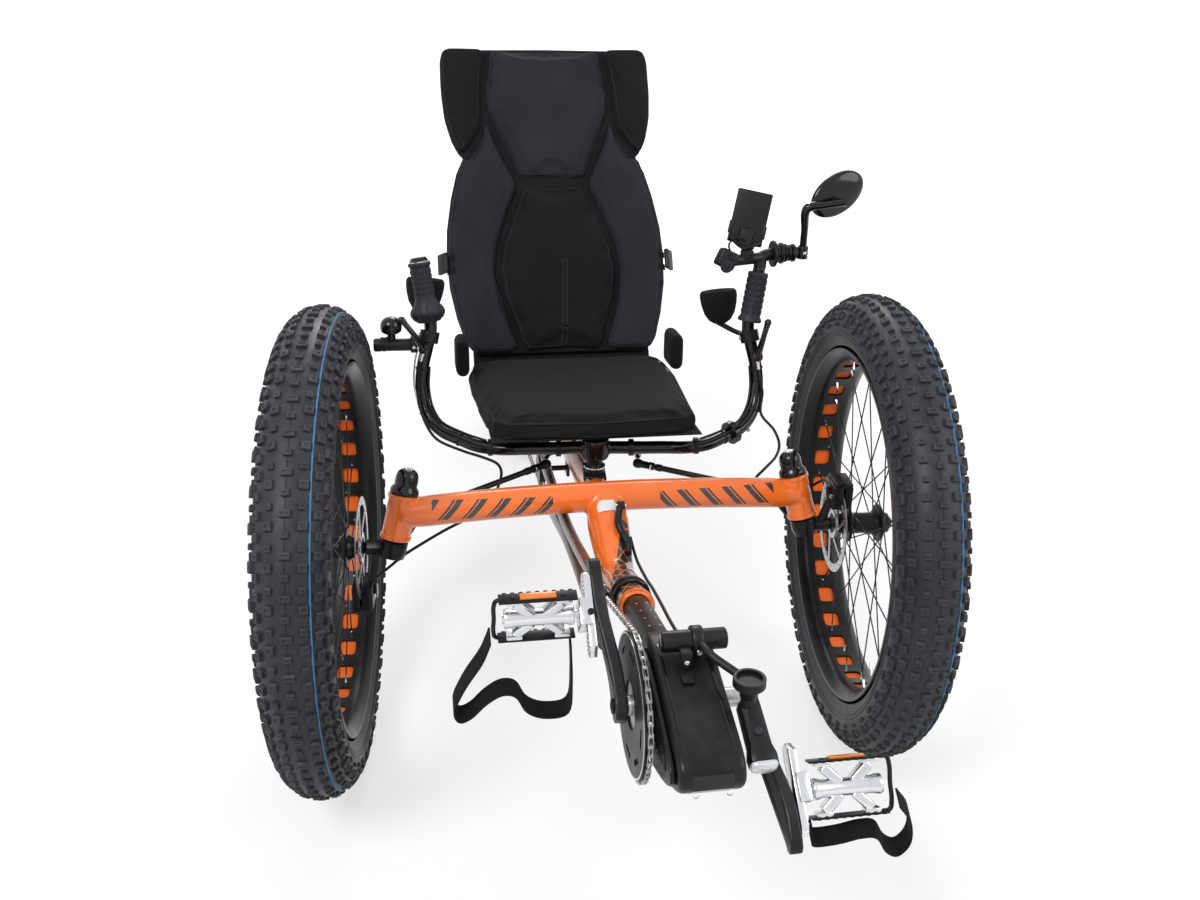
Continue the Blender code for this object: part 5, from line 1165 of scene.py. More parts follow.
def rounded_line(outline, steps=4):
    """A closed outline drawn as a soft curve through its corners."""
    row = [Vector((*p, 0)) for p in outline]
    return [(p.x, p.y) for k in range(len(row)) for p in bowed(*[row[(k + j) % len(row)]
        for j in (-1, 0, 1, 2)], steps)]


def in_side_view(name, outline, thick, middle_x, bevel, segments=3):
    """A plate whose outline is given as (y, z), seen from the side."""
    centre_y = sum((y for y, z in outline)) / len(outline)
    centre_z = sum((z for y, z in outline)) / len(outline)
    piece = plate(name, [(y - centre_y, z - centre_z) for y, z in outline], thick, bevel, segments)
    return settle(piece, at(middle_x, centre_y, centre_z), X, Y)


housing = in_side_view("drive_housing", drawn_in(rounded_line(OUTLINE), 0.0006), 0.077, 0.007,
    0.0075, 4)
socket = block("socket", (0.0528, 0.116, 0.0428),
    boom_point(BOOM_FRONT) + Vector((0, 0.0225, -0.003)), bevel=0.002)
hole = turned("hole", rod_line(0.0128, -0.1, 0.1), AXLE, X, 40)
pierced(housing, joined("openings", [socket, hole]))
fitted(housing, SATIN_BLACK, "boom", "black_plastic", "drive_unit")
top = mm("-478 483.6, -505 483.2, -560 468.2, -615 453.7, -652 441.8, -652 439.8, -615 451.5, "
    "-560 466, -505 481, -478 481.4")
for k, x in enumerate((-0.021, 0.035)):
    fitted(in_side_view(f"drive_top_edge_{k + 1}", top, 0.0045, x, 0.0008), GLOSS_BLACK, "boom",
        "black_plastic")
fitted(in_side_view("drive_nose_panel", mm("-669.5 427, -671.2 418, -671 407.5, -653.5 390, "
    "-651.5 391.5, -669 409, -669 418, -667.5 426"), 0.046, 0.007, 0.0006), GLOSS_BLACK, "boom",
    "black_plastic")
for x in (-0.012, 0.026):
    fitted(turned(f"drive_screw_{('left' if x > 0 else 'right')}", screw_line(0.0036, 0.0016, 0.002,
        0.002, 0.0008), at(x, -0.6705, 0.4005), Vector((0, -0.85, -0.52)), 18), SILVER, "boom",
        "black_plastic")
COVER = mm("-470 462, -520 470, -610 443, -652 426, -655 404, -600 378, -530 362, -470 392")
cover = in_side_view("drive_side_cover", rounded_line(COVER, 3), 0.0064, -0.0356, 0.0018)
hole = turned("hole", rod_line(0.018, -0.1, 0.1), AXLE, X, 40)
pierced(cover, hole)
fitted(cover, SATIN_BLACK, "boom", "black_plastic", "drive_cover")
for k in range(6):
    y = -0.563 - 0.0125 * k
    fitted(tube(f"cover_rib_{k + 1}", [at(-0.0388, y, 0.436 - 0.0022 * k), at(-0.0396, y
        - 0.01, 0.412), at(-0.0388, y + 0.002, 0.392 + 0.002 * k)], 0.0016, 10, soft=False),
        SATIN_BLACK, "boom", "black_plastic")

BAR_AT = at(0.017, -0.516, 0.4995)
bar = turned("accessory_tube", mm("0 -39, 11.2 -39, 12.4 -38.2, 12.8 -36.5, 12.8 36.5, 12.4 38.2, "
    "11.2 39, 0 39"), BAR_AT, X, 40)
strip = block("strip", (0.014, 0.016, 0.005), BAR_AT + Vector((-0.014, -0.018, -0.002)),
    bevel=0.001)
drop = block("drop", (0.014, 0.003, 0.023), BAR_AT + Vector((-0.014, -0.026, -0.0115)),
    bevel=0.0008)
foot = block("foot", (0.014, 0.022, 0.0035), at(0.003, -0.55, 0.473), (0, -0.279, 0.96), X, 0.0008)
fitted(joined("accessory_bar_body", [bar, strip, drop, foot]), SATIN_BLACK, "boom",
    "black_anodised", "accessory_bar")
caps = [turned("cap", mm("0 0, 9.8 0, 9.8 0.7, 6 1.2, 0 1.2"), BAR_AT + X * way * 0.0389, X * way,
    28) for way in (-1, 1)]
fitted(joined("accessory_bar_caps", caps), GLOSS_BLACK, "boom")
fitted(turned("accessory_bar_screw", screw_line(0.0034, 0.0024, 0.0018, 0.0028, 0.0012), BAR_AT
    + Vector((-0.014, -0.0276, -0.012)), -Y, 18), SILVER, "boom")

strap = BAR_AT + Vector((0.003, 0, 0))
CRADLE = at(0.064, -0.592, 0.489)
ring = turned("lamp_strap", mm("13.2 -6.5, 16.5 -6.5, 17.2 -5.5, 17.2 5.5, 16.5 6.5, 13.2 6.5, "
    "13.2 -6.5"), strap, X, 40)
arm = tube("arm", through([strap + Vector((0.002, -0.0165, 0.004)), strap + Vector((0.01, -0.038,
    0.001)), CRADLE + Vector((-0.009, 0.0155, 0))], 4), 0.0052, 16)
cradle = turned("cradle", mm("0 -5.5, 10 -5.5, 18.5 -5.5, 19 -4.8, 19 4.8, 18.5 5.5, 15.2 5.5, "
    "15 4.5, 15 0.8, 0 0.8"), CRADLE, Z, 44)
neck = turned("neck", mm("0 -20, 9.6 -20, 10 -19, 10 -5, 0 -5"), CRADLE, Z, 32)
fitted(joined("lamp_arm_body", [ring, arm, cradle, neck]), SATIN_BLACK, "lamp_arm",
    "black_anodised", "lamp_mount")
fitted(turned("lamp_arm_bolt", screw_line(0.004, 0.003, 0.0024, 0.0036, 0.0016), strap + Vector((0,
    -0.0168, -0.006)), Vector((0, -1, -0.4)), 18), SILVER, "lamp_arm")
fitted(refined("lamp_shell", "lamp_body", 0.0016, 3), SATIN_BLACK, "lamp_arm", "black_plastic",
    "lamp_body")
fitted(refined("lamp_glass", "lamp_lens", 0.0008, 2), LENS, "lamp_arm", "clear_lens", "lamp_lens")
AIM = Vector((0.02, -0.9, -0.42)).normalized()
fitted(turned("lamp_button", mm("0 0, 4.8 0, 4.8 1.4, 4 2.2, 0 2.4"), CRADLE + Vector((0.003, 0.012,
    -0.0365)) + AIM * 0.045 + Vector((0, -0.0054, 0.0118)), Vector((0, -0.42, 0.9)), 24), GRIP,
    "lamp_arm", "black_plastic")


# Cranks, chainring and pedals

guard = turned("chain_guard_disc", mm("30 -58.1, 86.8 -58.1, 87.6 -57.2, 87.6 -56, 30 -55.6, "
    "30 -58.1"), AXLE, X, 96)
slot = plate("slot", mm("-12 -3.5, 12 -3.5, 14 0, 12 3.5, -12 3.5, -14 0"), 0.02)
settle(slot, AXLE + Vector((-0.057, 0, 0.066)), X, Y)
pierced(guard, ring_of(slot, 8, AXLE, (1, 0, 0)))
fitted(guard, SATIN_BLACK, "cranks", "chain_steel", "chainring")
fitted(turned("chain_guard_ring", ring_line(0.0842, 0.0866, -0.0584, -0.058), AXLE, X, 96), SILVER,
    "cranks", "chain_steel")
disc = turned("disc", ring_line(0.025, 0.0826, -0.0532, -0.0508), AXLE, X, 84)
tooth = block("tooth", (0.002, 0.0062, 0.0075), AXLE + Vector((-0.052, 0, 0.0838)), bevel=0.0009)
teeth = ring_of(tooth, 42, AXLE, (1, 0, 0))
hole = turned("hole", rod_line(0.0105, -0.06, -0.04), AXLE + Z * 0.058, X, 24)
pierced(disc, ring_of(hole, 8, AXLE, (1, 0, 0)))
fitted(joined("chainring_blade", [disc, teeth]), STEEL, "cranks", "chain_steel")
fitted(turned("crank_spindle", mm("0 -62.7, 11.2 -62.7, 12 -61.5, 12 -56, 30 -55.6, 30 -53.2, "
    "12 -50, 12 77.6, 11.2 78.7, 0 78.7"), AXLE, X, 40), STEEL, "cranks", "chain_steel")


def crank_way(side):
    return Vector((0, -math.cos(math.radians(41)), -math.sin(math.radians(41)))) * side


FLARE = {1: 0.026, -1: 0.012}
TILT = {1: math.radians(62), -1: math.radians(104)}
ROUTES = {1: mm("-44 -8.9, -42 -24, -12 -24, 16 -19, 36 -22, 50 -44, 66 -52, 79 -34, 75 -2, "
    "58.8 22"), -1: mm("-40 -2.8, -42 -60, -38 -103, -10 -109, 14 -98, 28 -74, 46 -70, 66 -82, "
    "84 -100, 99 -105, 105 -88, 90 -54, 70 -22, 59 6")}
for word, side in SIDES:
    way = crank_way(side)
    wide_way = X.cross(way).normalized()
    arm = plate("crank_arm_" + word, mm("-19 -9, -12 -15, 0 -18, 20 -16, 60 -14, 120 -13, "
        "170 -12.5, 181 -9, 185 -4, 185 4, 181 9, 170 12.5, 120 13, 60 14, 20 16, 0 18, -12 15, "
        "-19 9"), 0.015)
    edit(arm)
    bpy.ops.mesh.subdivide(number_cuts=3)
    done()
    for vertex in arm.data.vertices:
        share = min(max((vertex.co.x - 0.02) / 0.125, 0.0), 1.0)
        vertex.co.z += FLARE[side] * share * share * (3 - 2 * share)
    eased(arm, 0.0028, 3, 40)
    settle(arm, AXLE + X * (0.008 + side * (0.071 + 0.0075)), X * side, way)
    fitted(arm, CRANK_GREY, "cranks", "black_anodised", "crank_" + word)
    fitted(turned("crank_bolt_" + word, mm("0 0, 8.5 0, 9 0.6, 9 2.2, 5 3, 5 1.4, 0 1.4"), AXLE + X
        * (0.008 + side * 0.0861), X * side, 32), SATIN_BLACK, "cranks")
    start = AXLE + way * 0.116 + X * (0.008 + side * (0.071 + FLARE[side] + 0.0243))
    middle = start - way * 0.002 - X * side * 0.0045
    corners = mm("-44 -13.5, 44 -13.5, 51 -10, 54 0, 51 10, 44 13.5, -44 13.5, -51 10, "
        "-54 0")
    bar = plate("bar", corners, 0.009, 0.0012)
    settle(bar, middle, X * side, way)
    cube = block("cube", (0.034, 0.036, 0.015), middle + X * side * 0.006, X * side, way, 0.0012)
    ribs = [block("rib", (0.0016, 0.024, 0.0012), middle + way * d + X * side * 0.0049, X * side,
        way, 0.0004) for d in (-0.046, -0.041, -0.036, -0.031, -0.026, 0.026, 0.031, 0.036, 0.041)]
    rod_piece = turned("rod", screw_line(0.0085, 0.009, 0.0055, 0.01, 0.1065), start - X * side
        * 0.005, X * side, 28)
    fitted(joined("pedal_shortener_" + word, [bar, cube, rod_piece] + ribs), SILVER, "cranks",
        "bright_aluminium", "crank_shortener_" + word)
    screw = turned("shortener_screw_" + word, screw_line(0.0042, 0.002, 0.0022, 0.0024, 0.001),
        middle - way * 0.002 + wide_way * 0.0181, wide_way, 18)
    fitted(screw, SATIN_BLACK, "cranks")

    out, face = (X * side, Vector((0, math.cos(TILT[side]), math.sin(TILT[side]))))
    middle = start + out * 0.057
    thin = out.cross(face)
    parts = [turned("barrel", mm("6.2 0, 11.5 0, 12.5 1.2, 12.5 6, 10.5 12, 10.5 73, 12 79, "
        "12 83.8, 11.2 85, 6.2 85, 6.2 0"), middle - out * 0.0425, out, 36)]
    for sx in (-1, 1):
        for sy in (-1, 1):
            a = middle + out * sx * 0.008 + face * sy * 0.006
            b = middle + out * sx * 0.0295 + face * sy * 0.0262
            spoke_way = (b - a).normalized()
            parts.append(block("limb", ((b - a).length, 0.0125, 0.015), (a + b) / 2, thin,
                spoke_way, 0.0028, 3))
            parts.append(block("foot", (0.02, 0.006, 0.015), b + face * sy * 0.003, thin, out,
                0.0015))
    fitted(joined("pedal_casting_" + word, parts), SILVER, "pedal_" + word, "bright_aluminium",
        "pedal_body_" + word)
    plates = []
    for sy in (-1, 1):
        place = middle + face * sy * 0.0325 + out * 0.002
        plates.append(block("cage", (0.095, 0.016, 0.003), place, face, out, 0.0007))
        tooth = block("tooth", (0.005, 0.0022, 0.003), place + thin * 0.0088 - out * 0.04, face,
            out, 0.0006)
        applied(tooth, "ARRAY", count=9, use_relative_offset=False, use_constant_offset=True,
            constant_offset_displace=tuple(out * 0.01))
        plates.append(tooth)
        for pin_at in (-0.03, 0.03):
            plates.append(turned("pin", mm("0 0, 3 0, 2.6 1.2, 0 1.6"), place + out * pin_at + face
                * sy * 0.0014, face * sy, 14))
    edge = 0.0455
    loop = [middle + out * edge + face * 0.0325, middle + out * (edge + 0.007) + face * 0.03, middle
        + out * (edge + 0.009) + face * 0.024, middle + out * (edge + 0.009), middle + out * (edge
        + 0.009) - face * 0.024, middle + out * (edge + 0.007) - face * 0.03, middle + out * edge
        - face * 0.0325]
    plates.append(tube("loop", loop, 0.0028, 16))
    fitted(joined("pedal_plates_" + word, plates), BLACK_METAL, "pedal_" + word, "black_anodised",
        "pedal_cage_" + word)
    fitted(block("pedal_reflector_" + word, (0.044, 0.0095, 0.003), middle + face * 0.0352 + out
        * 0.002, face, out, 0.0008), AMBER, "pedal_" + word, "clear_lens")
    low = middle - face * 0.0357
    route = through([low + out * a + Z * b for a, b in ROUTES[side]], 5)
    fitted(band("heel_strap_" + word, route, Vector((0, 0.8, 0.6)) * 0.023, 0.0021), WEBBING,
        "pedal_" + word, "black_webbing", "pedal_strap_" + word)


# Handlebar and its clamps

CORNERS = mm("0 100 482, 100 105 479, 184 128 472, 222 150 477, 259 175 487, 280 197 508, "
    "288 214 540, 286.5 226 575, 277 238 615, 271.5 245.5 640, 287.4 262.1 745")
GRIP_LOW, GRIP_HIGH = ((0.2715, 0.2455, 0.64), (0.288, 0.2627, 0.749))
LEVER_AT = {1: at(0.293, 0.182, 0.6015), -1: at(-0.272, 0.233, 0.618)}
LEVER_TIP = {1: at(0.301, 0.165, 0.669), -1: at(-0.3055, 0.212, 0.676)}
INNER_BALL = (0.078, 0.155, 0.428)


def on_bar(side, point):
    """A point of the handlebar's left half, or its place on the right half."""
    return steered(side * point[0], *point[1:])


TOP = on_bar(1, GRIP_HIGH)
path = [steered(-x, y, z) for x, y, z in CORNERS[:0:-1]] + [steered(*c) for c in CORNERS]
parts = [tube("bar", path, 0.011, 24), turned("sleeve", mm("0 0, 22.2 0, 23 0.8, 23 35, 22.2 35.7, "
    "0 35.7"), at(0, STEERING_Y, 0.4643), Z, 40)]
for word, side in SIDES:
    joint = on_bar(side, INNER_BALL)
    parts.append(tube("arm", [steered(side * 0.06, 0.103, 0.479), steered(side * 0.071, 0.132,
        0.463), joint + Z * 0.019], [0.009, 0.008, 0.0074], 18))
    parts.append(turned("seat", rod_line(0.006, 0.0101, 0.02), joint, Z, 20))
fitted(welded("handlebar_tubes", parts, 0.0022, 5), GLOSS_BLACK, "handlebar", "black_anodised",
    "handlebar")


def clamp_ring(name, centre, axis, out_r, in_r, wide, look=SATIN_BLACK):
    h = wide / 2
    ring = turned(name, [(in_r, -h), (out_r - 0.0008, -h), (out_r, 0.001 - h), (out_r, h - 0.001),
        (out_r - 0.0008, h), (in_r, h), (in_r, -h)], centre, axis, 36)
    return fitted(ring, look, "handlebar")


def screw(name, place, way, radius=0.003, body="handlebar"):
    head = turned(name, screw_line(radius, radius * 0.8, radius * 0.55, radius, radius * 0.4),
        place, way, 16)
    return fitted(head, SILVER, body)


for word, side in SIDES:
    low = on_bar(side, GRIP_LOW)
    under = on_bar(side, CORNERS[8])
    middle, along = ((low + under) / 2, low - under)
    clamp_ring("grip_collar_" + word, middle, along, 0.0165, 0.0105, 0.0195)
    side_way = along.cross(Y).normalized()
    screw("grip_collar_screw_" + word, middle + side_way * 0.016, side_way, 0.0028)
    spot = LEVER_AT[side]
    fitted(tube("lever_bracket_" + word, [Vector((spot.x, under.y - 0.002, spot.z)), spot + Y
        * 0.016, spot + Y * 0.0078], [0.0078, 0.0064, 0.0058], 16), SATIN_BLACK, "handlebar")
    for k, c in enumerate((3, 5, 7)):
        place = on_bar(side, CORNERS[c])
        toward = on_bar(side, CORNERS[c + 1]) - place
        clamp_ring(f"cable_tie_{word}_{k + 1}", place, toward, 0.012, 0.0108, 0.0042)
    for k, place in enumerate(((0.06, 0.1025, 0.4805), (0.172, 0.1246, 0.473))):
        clamp_ring(f"bar_collar_{word}_{k + 1}", on_bar(side, place), turn_right(X), 0.0142, 0.0108,
            0.0085)

    for k, (inward, up, last) in enumerate(((0.0125, 0.006, 8), (0.0055, 0.0135, 7))):
        row = [steered(side * (x - inward), y - 0.004, z + up) for x, y, z in CORNERS[2:last]]
        fitted(tube(f"bar_cable_{word}_{k + 1}", through(row, 4), 0.0021, 10), SATIN_BLACK,
            "handlebar", "black_plastic")
thin = spots("-283 240 632, -296 228 600, -301 218 560, -296 205 530, -288 198 507", steered)
fitted(tube("bright_cable_right", through(thin, 4), 0.0015, 10), STEEL, "handlebar",
    "bright_aluminium")

fitted(turned("accessory_stub_right", mm("0 0, 10 0, 10.5 1.2, 10.5 74, 11.2 74.5, 11.2 77.5, "
    "10.5 78, 10.5 81.5, 11.2 82, 11.2 90, 9.8 93.1, 0 93.1"), at(-0.26, 0.26, 0.616),
    Vector((-0.093, 0.005, -0.0003)), 36), SATIN_BLACK, "handlebar")
clamp_ring("stub_clamp_right", at(-0.286, 0.2614, 0.6159), X, 0.014, 0.0104, 0.012)
screw("stub_clamp_screw_right", at(-0.286, 0.2474, 0.6159), -Y, 0.003)
fitted(turned("bell_dome", mm("0 0, 6.8 0, 6.8 9, 12 10.2, 16.8 13.5, 18 19, 17.6 25, 15.5 31, "
    "11 35.5, 5 37.7, 0 38"), at(-0.323, 0.2634, 0.6265), Z, 48, 60), GLOSS_BLACK, "handlebar",
    "black_anodised", "bell")
fitted(tube("bell_lever", spots("-323 260 633, -333 243 634, -340 238 636"), 0.002, 12),
    SATIN_BLACK, "handlebar")

row = [TOP - (TOP - steered(*GRIP_LOW)).normalized() * 0.005, at(0.304, 0.238, 0.759), at(0.322,
    0.241, 0.765), at(0.348, 0.25, 0.764), at(0.3702, 0.25, 0.764)]
fitted(tube("top_bar_left", row, [0.011, 0.0105, 0.01, 0.01, 0.01], 24), SATIN_BLACK, "handlebar")
for k, (x, r) in enumerate(mm("325 22.5, 333.5 16, 340 18, 347.5 16, 355 14, 362 15.5")):
    share = min((x - 0.322) / 0.026, 1.0)
    clamp_ring(f"ribbed_clamp_left_{k + 1}", at(x, 0.241 + 0.009 * share, 0.765 - 0.001 * share), X,
        r, 0.0098, 0.0052, GLOSS_BLACK if k % 2 else SATIN_BLACK)
fitted(tube("control_bar_left", [at(0.306, 0.238, 0.76), at(0.244, 0.222, 0.759)], 0.0095, 24,
    soft=False), SATIN_BLACK, "handlebar")
box_way = Vector((0.45, 0.2, 0.87))
fitted(block("control_box_left", (0.032, 0.028, 0.03), at(0.236, 0.216, 0.764), box_way, X, 0.004,
    3), SATIN_BLACK, "handlebar", "black_plastic")
fitted(turned("control_knob_left", mm("0 0, 9.8 0, 10.4 0.8, 10.4 5, 9.2 6.2, 6 6.6, 0 6.6"),
    at(0.233, 0.201, 0.756), Vector((-0.25, -0.95, -0.1)), 30), GRIP, "handlebar", "black_plastic")
for k in range(3):
    fitted(block(f"control_key_left_{k + 1}", (0.008, 0.005, 0.0024), at(0.243, 0.2, 0.762 + 0.007
        * k), Vector((-0.1, -0.98, 0.1)), X, 0.0008), GRIP, "handlebar", "black_plastic")
fitted(turned("bar_disc_left", mm("10.8 -8, 19 -8, 20 -7, 20 3, 18 5, 15 8, 10.8 8, 10.8 -8"),
    steered(0.24, 0.162, 0.482), steered(0.259, 0.175, 0.487) - steered(0.222, 0.15, 0.477), 40),
    GLOSS_BLACK, "handlebar")
screw("bar_screw_left", steered(0.27, 0.178, 0.48), -Y - Z, 0.004)
loop = spots("240 210 778, 236 206 792, 248 210 801, 264 218 796, 270 226 786")
fitted(tube("control_wire_left", through(loop, 3), 0.0016, 10), WEBBING, "handlebar",
    "black_plastic")

HINGE = at(0.274, 0.226, 0.782)
fitted(block("display_foot", (0.02, 0.014, 0.017), HINGE - Z * 0.0143, Z, X, 0.0015), SATIN_BLACK,
    "handlebar")
lean = Vector((0.22, 0.2, 0.94)).normalized()
broad = lean.cross(Vector((0.2, 0.95, -0.2))).normalized()
facing = broad.cross(lean).normalized()
middle = HINGE + lean * 0.048 + Vector((-0.006, 0.004, 0))
slab = block("display_slab", (0.059, 0.089, 0.0078), middle, facing, broad, 0.0022, 3)
pivot = turned("pivot", mm("0 -10, 5 -10, 5.5 -9.4, 5.5 9.4, 5 10, 0 10"), HINGE, X, 24)
fitted(joined("display_body", [slab, pivot]), SATIN_BLACK, "display", "black_plastic", "display")
way = 1 if facing.y > 0 else -1
fitted(block("display_glass", (0.054, 0.083, 0.0006), middle + facing * way * 0.004, facing, broad,
    0.0002), GLOSS_BLACK, "display", "black_plastic")
yoke = [middle + broad * s * 0.0275 - lean * (0.038 + 0.012 * (1 - abs(s))) - facing * way * 0.007
    for s in (-1.0, -0.7, 0.0, 0.7, 1.0)]
fitted(tube("display_yoke", through(yoke, 4), 0.0036, 14), GLOSS_BLACK, "display", "black_plastic")
fitted(block("display_wedge", (0.022, 0.03, 0.01), middle - lean * 0.033 - facing * way * 0.007,
    facing, broad, 0.003, 3), SATIN_BLACK, "display", "black_plastic")
for k, sx in enumerate((-1, 1)):
    fitted(block(f"display_claw_{k + 1}", (0.006, 0.022, 0.011), middle + broad * sx * 0.0285 - lean
        * 0.02, facing, broad, 0.0018), SATIN_BLACK, "display", "black_plastic")

FOOT, ELBOW, HUB = spots("380 250 764, 371.6 226 846.3, 434 222 856")
MIRROR_BACK = Vector((0.155, -0.98, 0.103)).normalized()
MIRROR_LONG = Vector((0.85, 0.187, 0.5)).normalized()
hub = turned("hub", mm("0 -10, 9 -10, 9.5 -9, 9.5 -6, 8.6 -5.2, 8.6 -3.6, 9.5 -2.8, 9.5 0.6, "
    "8.6 1.4, 8.6 3, 9.5 3.8, 9.5 9.5, 7.8 11.8, 0 12.5"), FOOT, Z, 40)
end = HUB + MIRROR_BACK * 0.006
stem = tube("stem", [FOOT + Z * 0.008, FOOT * 0.5 + ELBOW * 0.5, ELBOW * 0.96 + FOOT * 0.04, ELBOW
    * 0.94 + end * 0.06, ELBOW * 0.5 + end * 0.5, end], [0.0062, 0.006, 0.0078, 0.0078, 0.006,
    0.006], 20)
ball = turned("ball", mm("0 0, 4 0, 4.5 0.6, 4.8 10, 6.8 15, 7 19, 5 23.5, 0 24"), HUB - MIRROR_BACK
    * 0.0148, MIRROR_BACK, 28, 50)
fitted(joined("mirror_stem", [hub, stem, ball]), GLOSS_BLACK, "mirror_arm", "black_anodised",
    "mirror_arm")
fitted(turned("mirror_elbow_cap", mm("0 0, 5.2 0, 5.8 0.6, 5.2 2.2, 0 2.8"), ELBOW + Z * 0.0072, Z,
    24), SILVER, "mirror_arm")
screw("mirror_hub_screw", FOOT + Vector((0, -0.0092, 0.001)), -Y, 0.0028, "mirror_arm")
MIRROR_SIZE = (0.052, 0.033, 1)
shift = Vector((0.001, 0, 0.011))
centre = HUB - MIRROR_BACK * 0.024 + shift - MIRROR_BACK * shift.dot(MIRROR_BACK)
bowl = turned("mirror_shell", [(0, 0.008), (0.3, 0.0079), (0.55, 0.0075), (0.78, 0.0062), (0.93,
    0.004), (0.99, 0.002), (1.0, 0.0), (1.0, -0.0032), (0.97, -0.0048), (0.94, -0.005), (0.93,
    -0.0038), (0, -0.0038)], (0, 0, 0), Z, 72, 50)
settle(stretched(bowl, MIRROR_SIZE), centre, MIRROR_BACK, MIRROR_LONG)
fitted(bowl, GLOSS_BLACK, "mirror_head", "black_plastic", "mirror_head")
glass = turned("mirror_glass", [(0, -0.0044), (0.92, -0.0044), (0.92, -0.004), (0, -0.004)],
    steps=72)
settle(stretched(glass, MIRROR_SIZE), centre, MIRROR_BACK, MIRROR_LONG)
fitted(glass, SILVER, "mirror_head", "bright_aluminium")


# Grips, palm rests and levers

for word, side in SIDES:
    low, high = (on_bar(side, GRIP_LOW), on_bar(side, GRIP_HIGH))
    axis = (high - low).normalized()
    length = (high - low).length - 0.013
    low = low + axis * 0.013
    if side > 0:
        profile = [(0.0114, 0), (0.0198, 0), (0.0205, 0.0012), (0.02, 0.005), (0.0168, 0.01),
            (0.0166, length - 0.022), (0.0175, length - 0.02), (0.0172, length - 0.0155), (0.016,
            length - 0.014), (0.0114, length - 0.014), (0.0114, 0)]
    else:
        profile = [(0.0114, 0), (0.0195, 0), (0.024, 0.006), (0.0275, 0.0135), (0.0275, 0.0165),
            (0.0255, 0.021), (0.019, 0.033), (0.0168, 0.042), (0.0168, length - 0.006), (0.0188,
            length - 0.004), (0.019, length), (0.0165, length + 0.0015), (0.0155, length + 0.002),
            (0.0114, length + 0.002), (0.0114, 0)]
    shell = turned("sleeve", profile, low, axis, 44)
    bottom = 0.012 if side > 0 else 0.046
    top = length - 0.024 if side > 0 else length - 0.01
    pieces = [shell]
    rows = 6 if side > 0 else 5
    for k in range(rows):
        place = low + axis * (bottom + (top - bottom) * (k + 0.5) / rows)
        around = axis.cross(Y).normalized()
        pad = block("pad", (0.008, (top - bottom) / rows * 0.72, 0.0016), place + around * 0.0168,
            around, axis.cross(around), 0.0006)
        pieces.append(ring_of(pad, 8, place, axis))
    fitted(joined("grip_sleeve_" + word, pieces), GRIP, "handlebar", "grip_rubber", "grip_" + word)
    plug_at = low + axis * (length - 0.014 if side > 0 else length + 0.002)
    if side < 0:
        fitted(turned("grip_end_" + word, mm("0 0, 15 0, 15.8 2, 12 7.5, 0 8.5"), plug_at, axis, 10,
            10), GLOSS_BLACK, "handlebar", "grip_rubber")
        fitted(turned("grip_end_ring_" + word, mm("15 -2.8, 16.4 -2.6, 16.6 0, 15 0.2, 15 -2.8"),
            plug_at + axis * 0.0012, axis, 36), STEEL, "handlebar", "grip_rubber")
        ridge = tube("ridge", [low + axis * 0.0035 + around * 0.0226, low + axis * 0.015 + around
            * 0.0272, low + axis * 0.03 + around * 0.0202], [0.0016, 0.0024, 0.001], 8)
        fitted(ring_of(ridge, 12, low, axis), GRIP, "handlebar", "grip_rubber")

    middle = {1: at(0.246, 0.278, 0.664), -1: at(-0.264, 0.328, 0.683)}[side]
    rest = turned("palm_" + word, [(0, -0.0315), (0.1, -0.0315), (0.34, -0.03), (0.6, -0.024),
        (0.82, -0.012), (0.95, 0.004), (1.0, 0.017), (0.985, 0.024), (0.9, 0.028), (0.7, 0.027),
        (0.4, 0.0235), (0, 0.0215)], (0, 0, 0), Z, 40, 70)
    settle(stretched(rest, (0.033, 0.0215, 1)), middle, Vector((-side * 0.1, 0.15, 1)),
        turn_right(X))
    rest.name = "palm_rest_pad_" + word
    fitted(rest, BLACK_CLOTH, "handlebar", "black_fabric", "palm_rest_" + word)
    foot = (on_bar(side, CORNERS[8]) + on_bar(side, GRIP_LOW)) / 2
    away = Vector((middle.x - foot.x, middle.y - foot.y, 0)).normalized()
    fitted(tube("palm_bracket_" + word, [foot + away * 0.0168, foot + away * 0.028, middle - Z
        * 0.03], 0.0045, 16), SATIN_BLACK, "handlebar")

    spot, tip = (LEVER_AT[side], LEVER_TIP[side])
    bow = (spot + tip) / 2 - Y * 0.01 - X * side * 0.004
    blade = tube("blade", through([spot, bow, tip], 3), [0.0058, 0.0056, 0.0053, 0.0049, 0.0046,
        0.0048, 0.006], 18)
    lever_hub = turned("hub", mm("0 -7, 6.4 -7, 7 -6, 7 6, 6.4 7, 0 7"), spot, X, 26)
    knob = turned("knob", mm("0 -5.5, 3 -4.8, 5.2 -2.2, 5.6 0, 5.2 2.2, 3 4.8, 0 5.5"), tip - Z
        * 0.001, Z, 20, 80)
    fitted(joined("brake_blade_" + word, [blade, lever_hub, knob]), GLOSS_BLACK, "brake_lever_"
        + word, "black_anodised", "brake_lever_" + word)
    screw("lever_screw_" + word, spot + X * side * 0.0068, X * side, 0.0026, "brake_lever_" + word)


# Steering links and knuckles

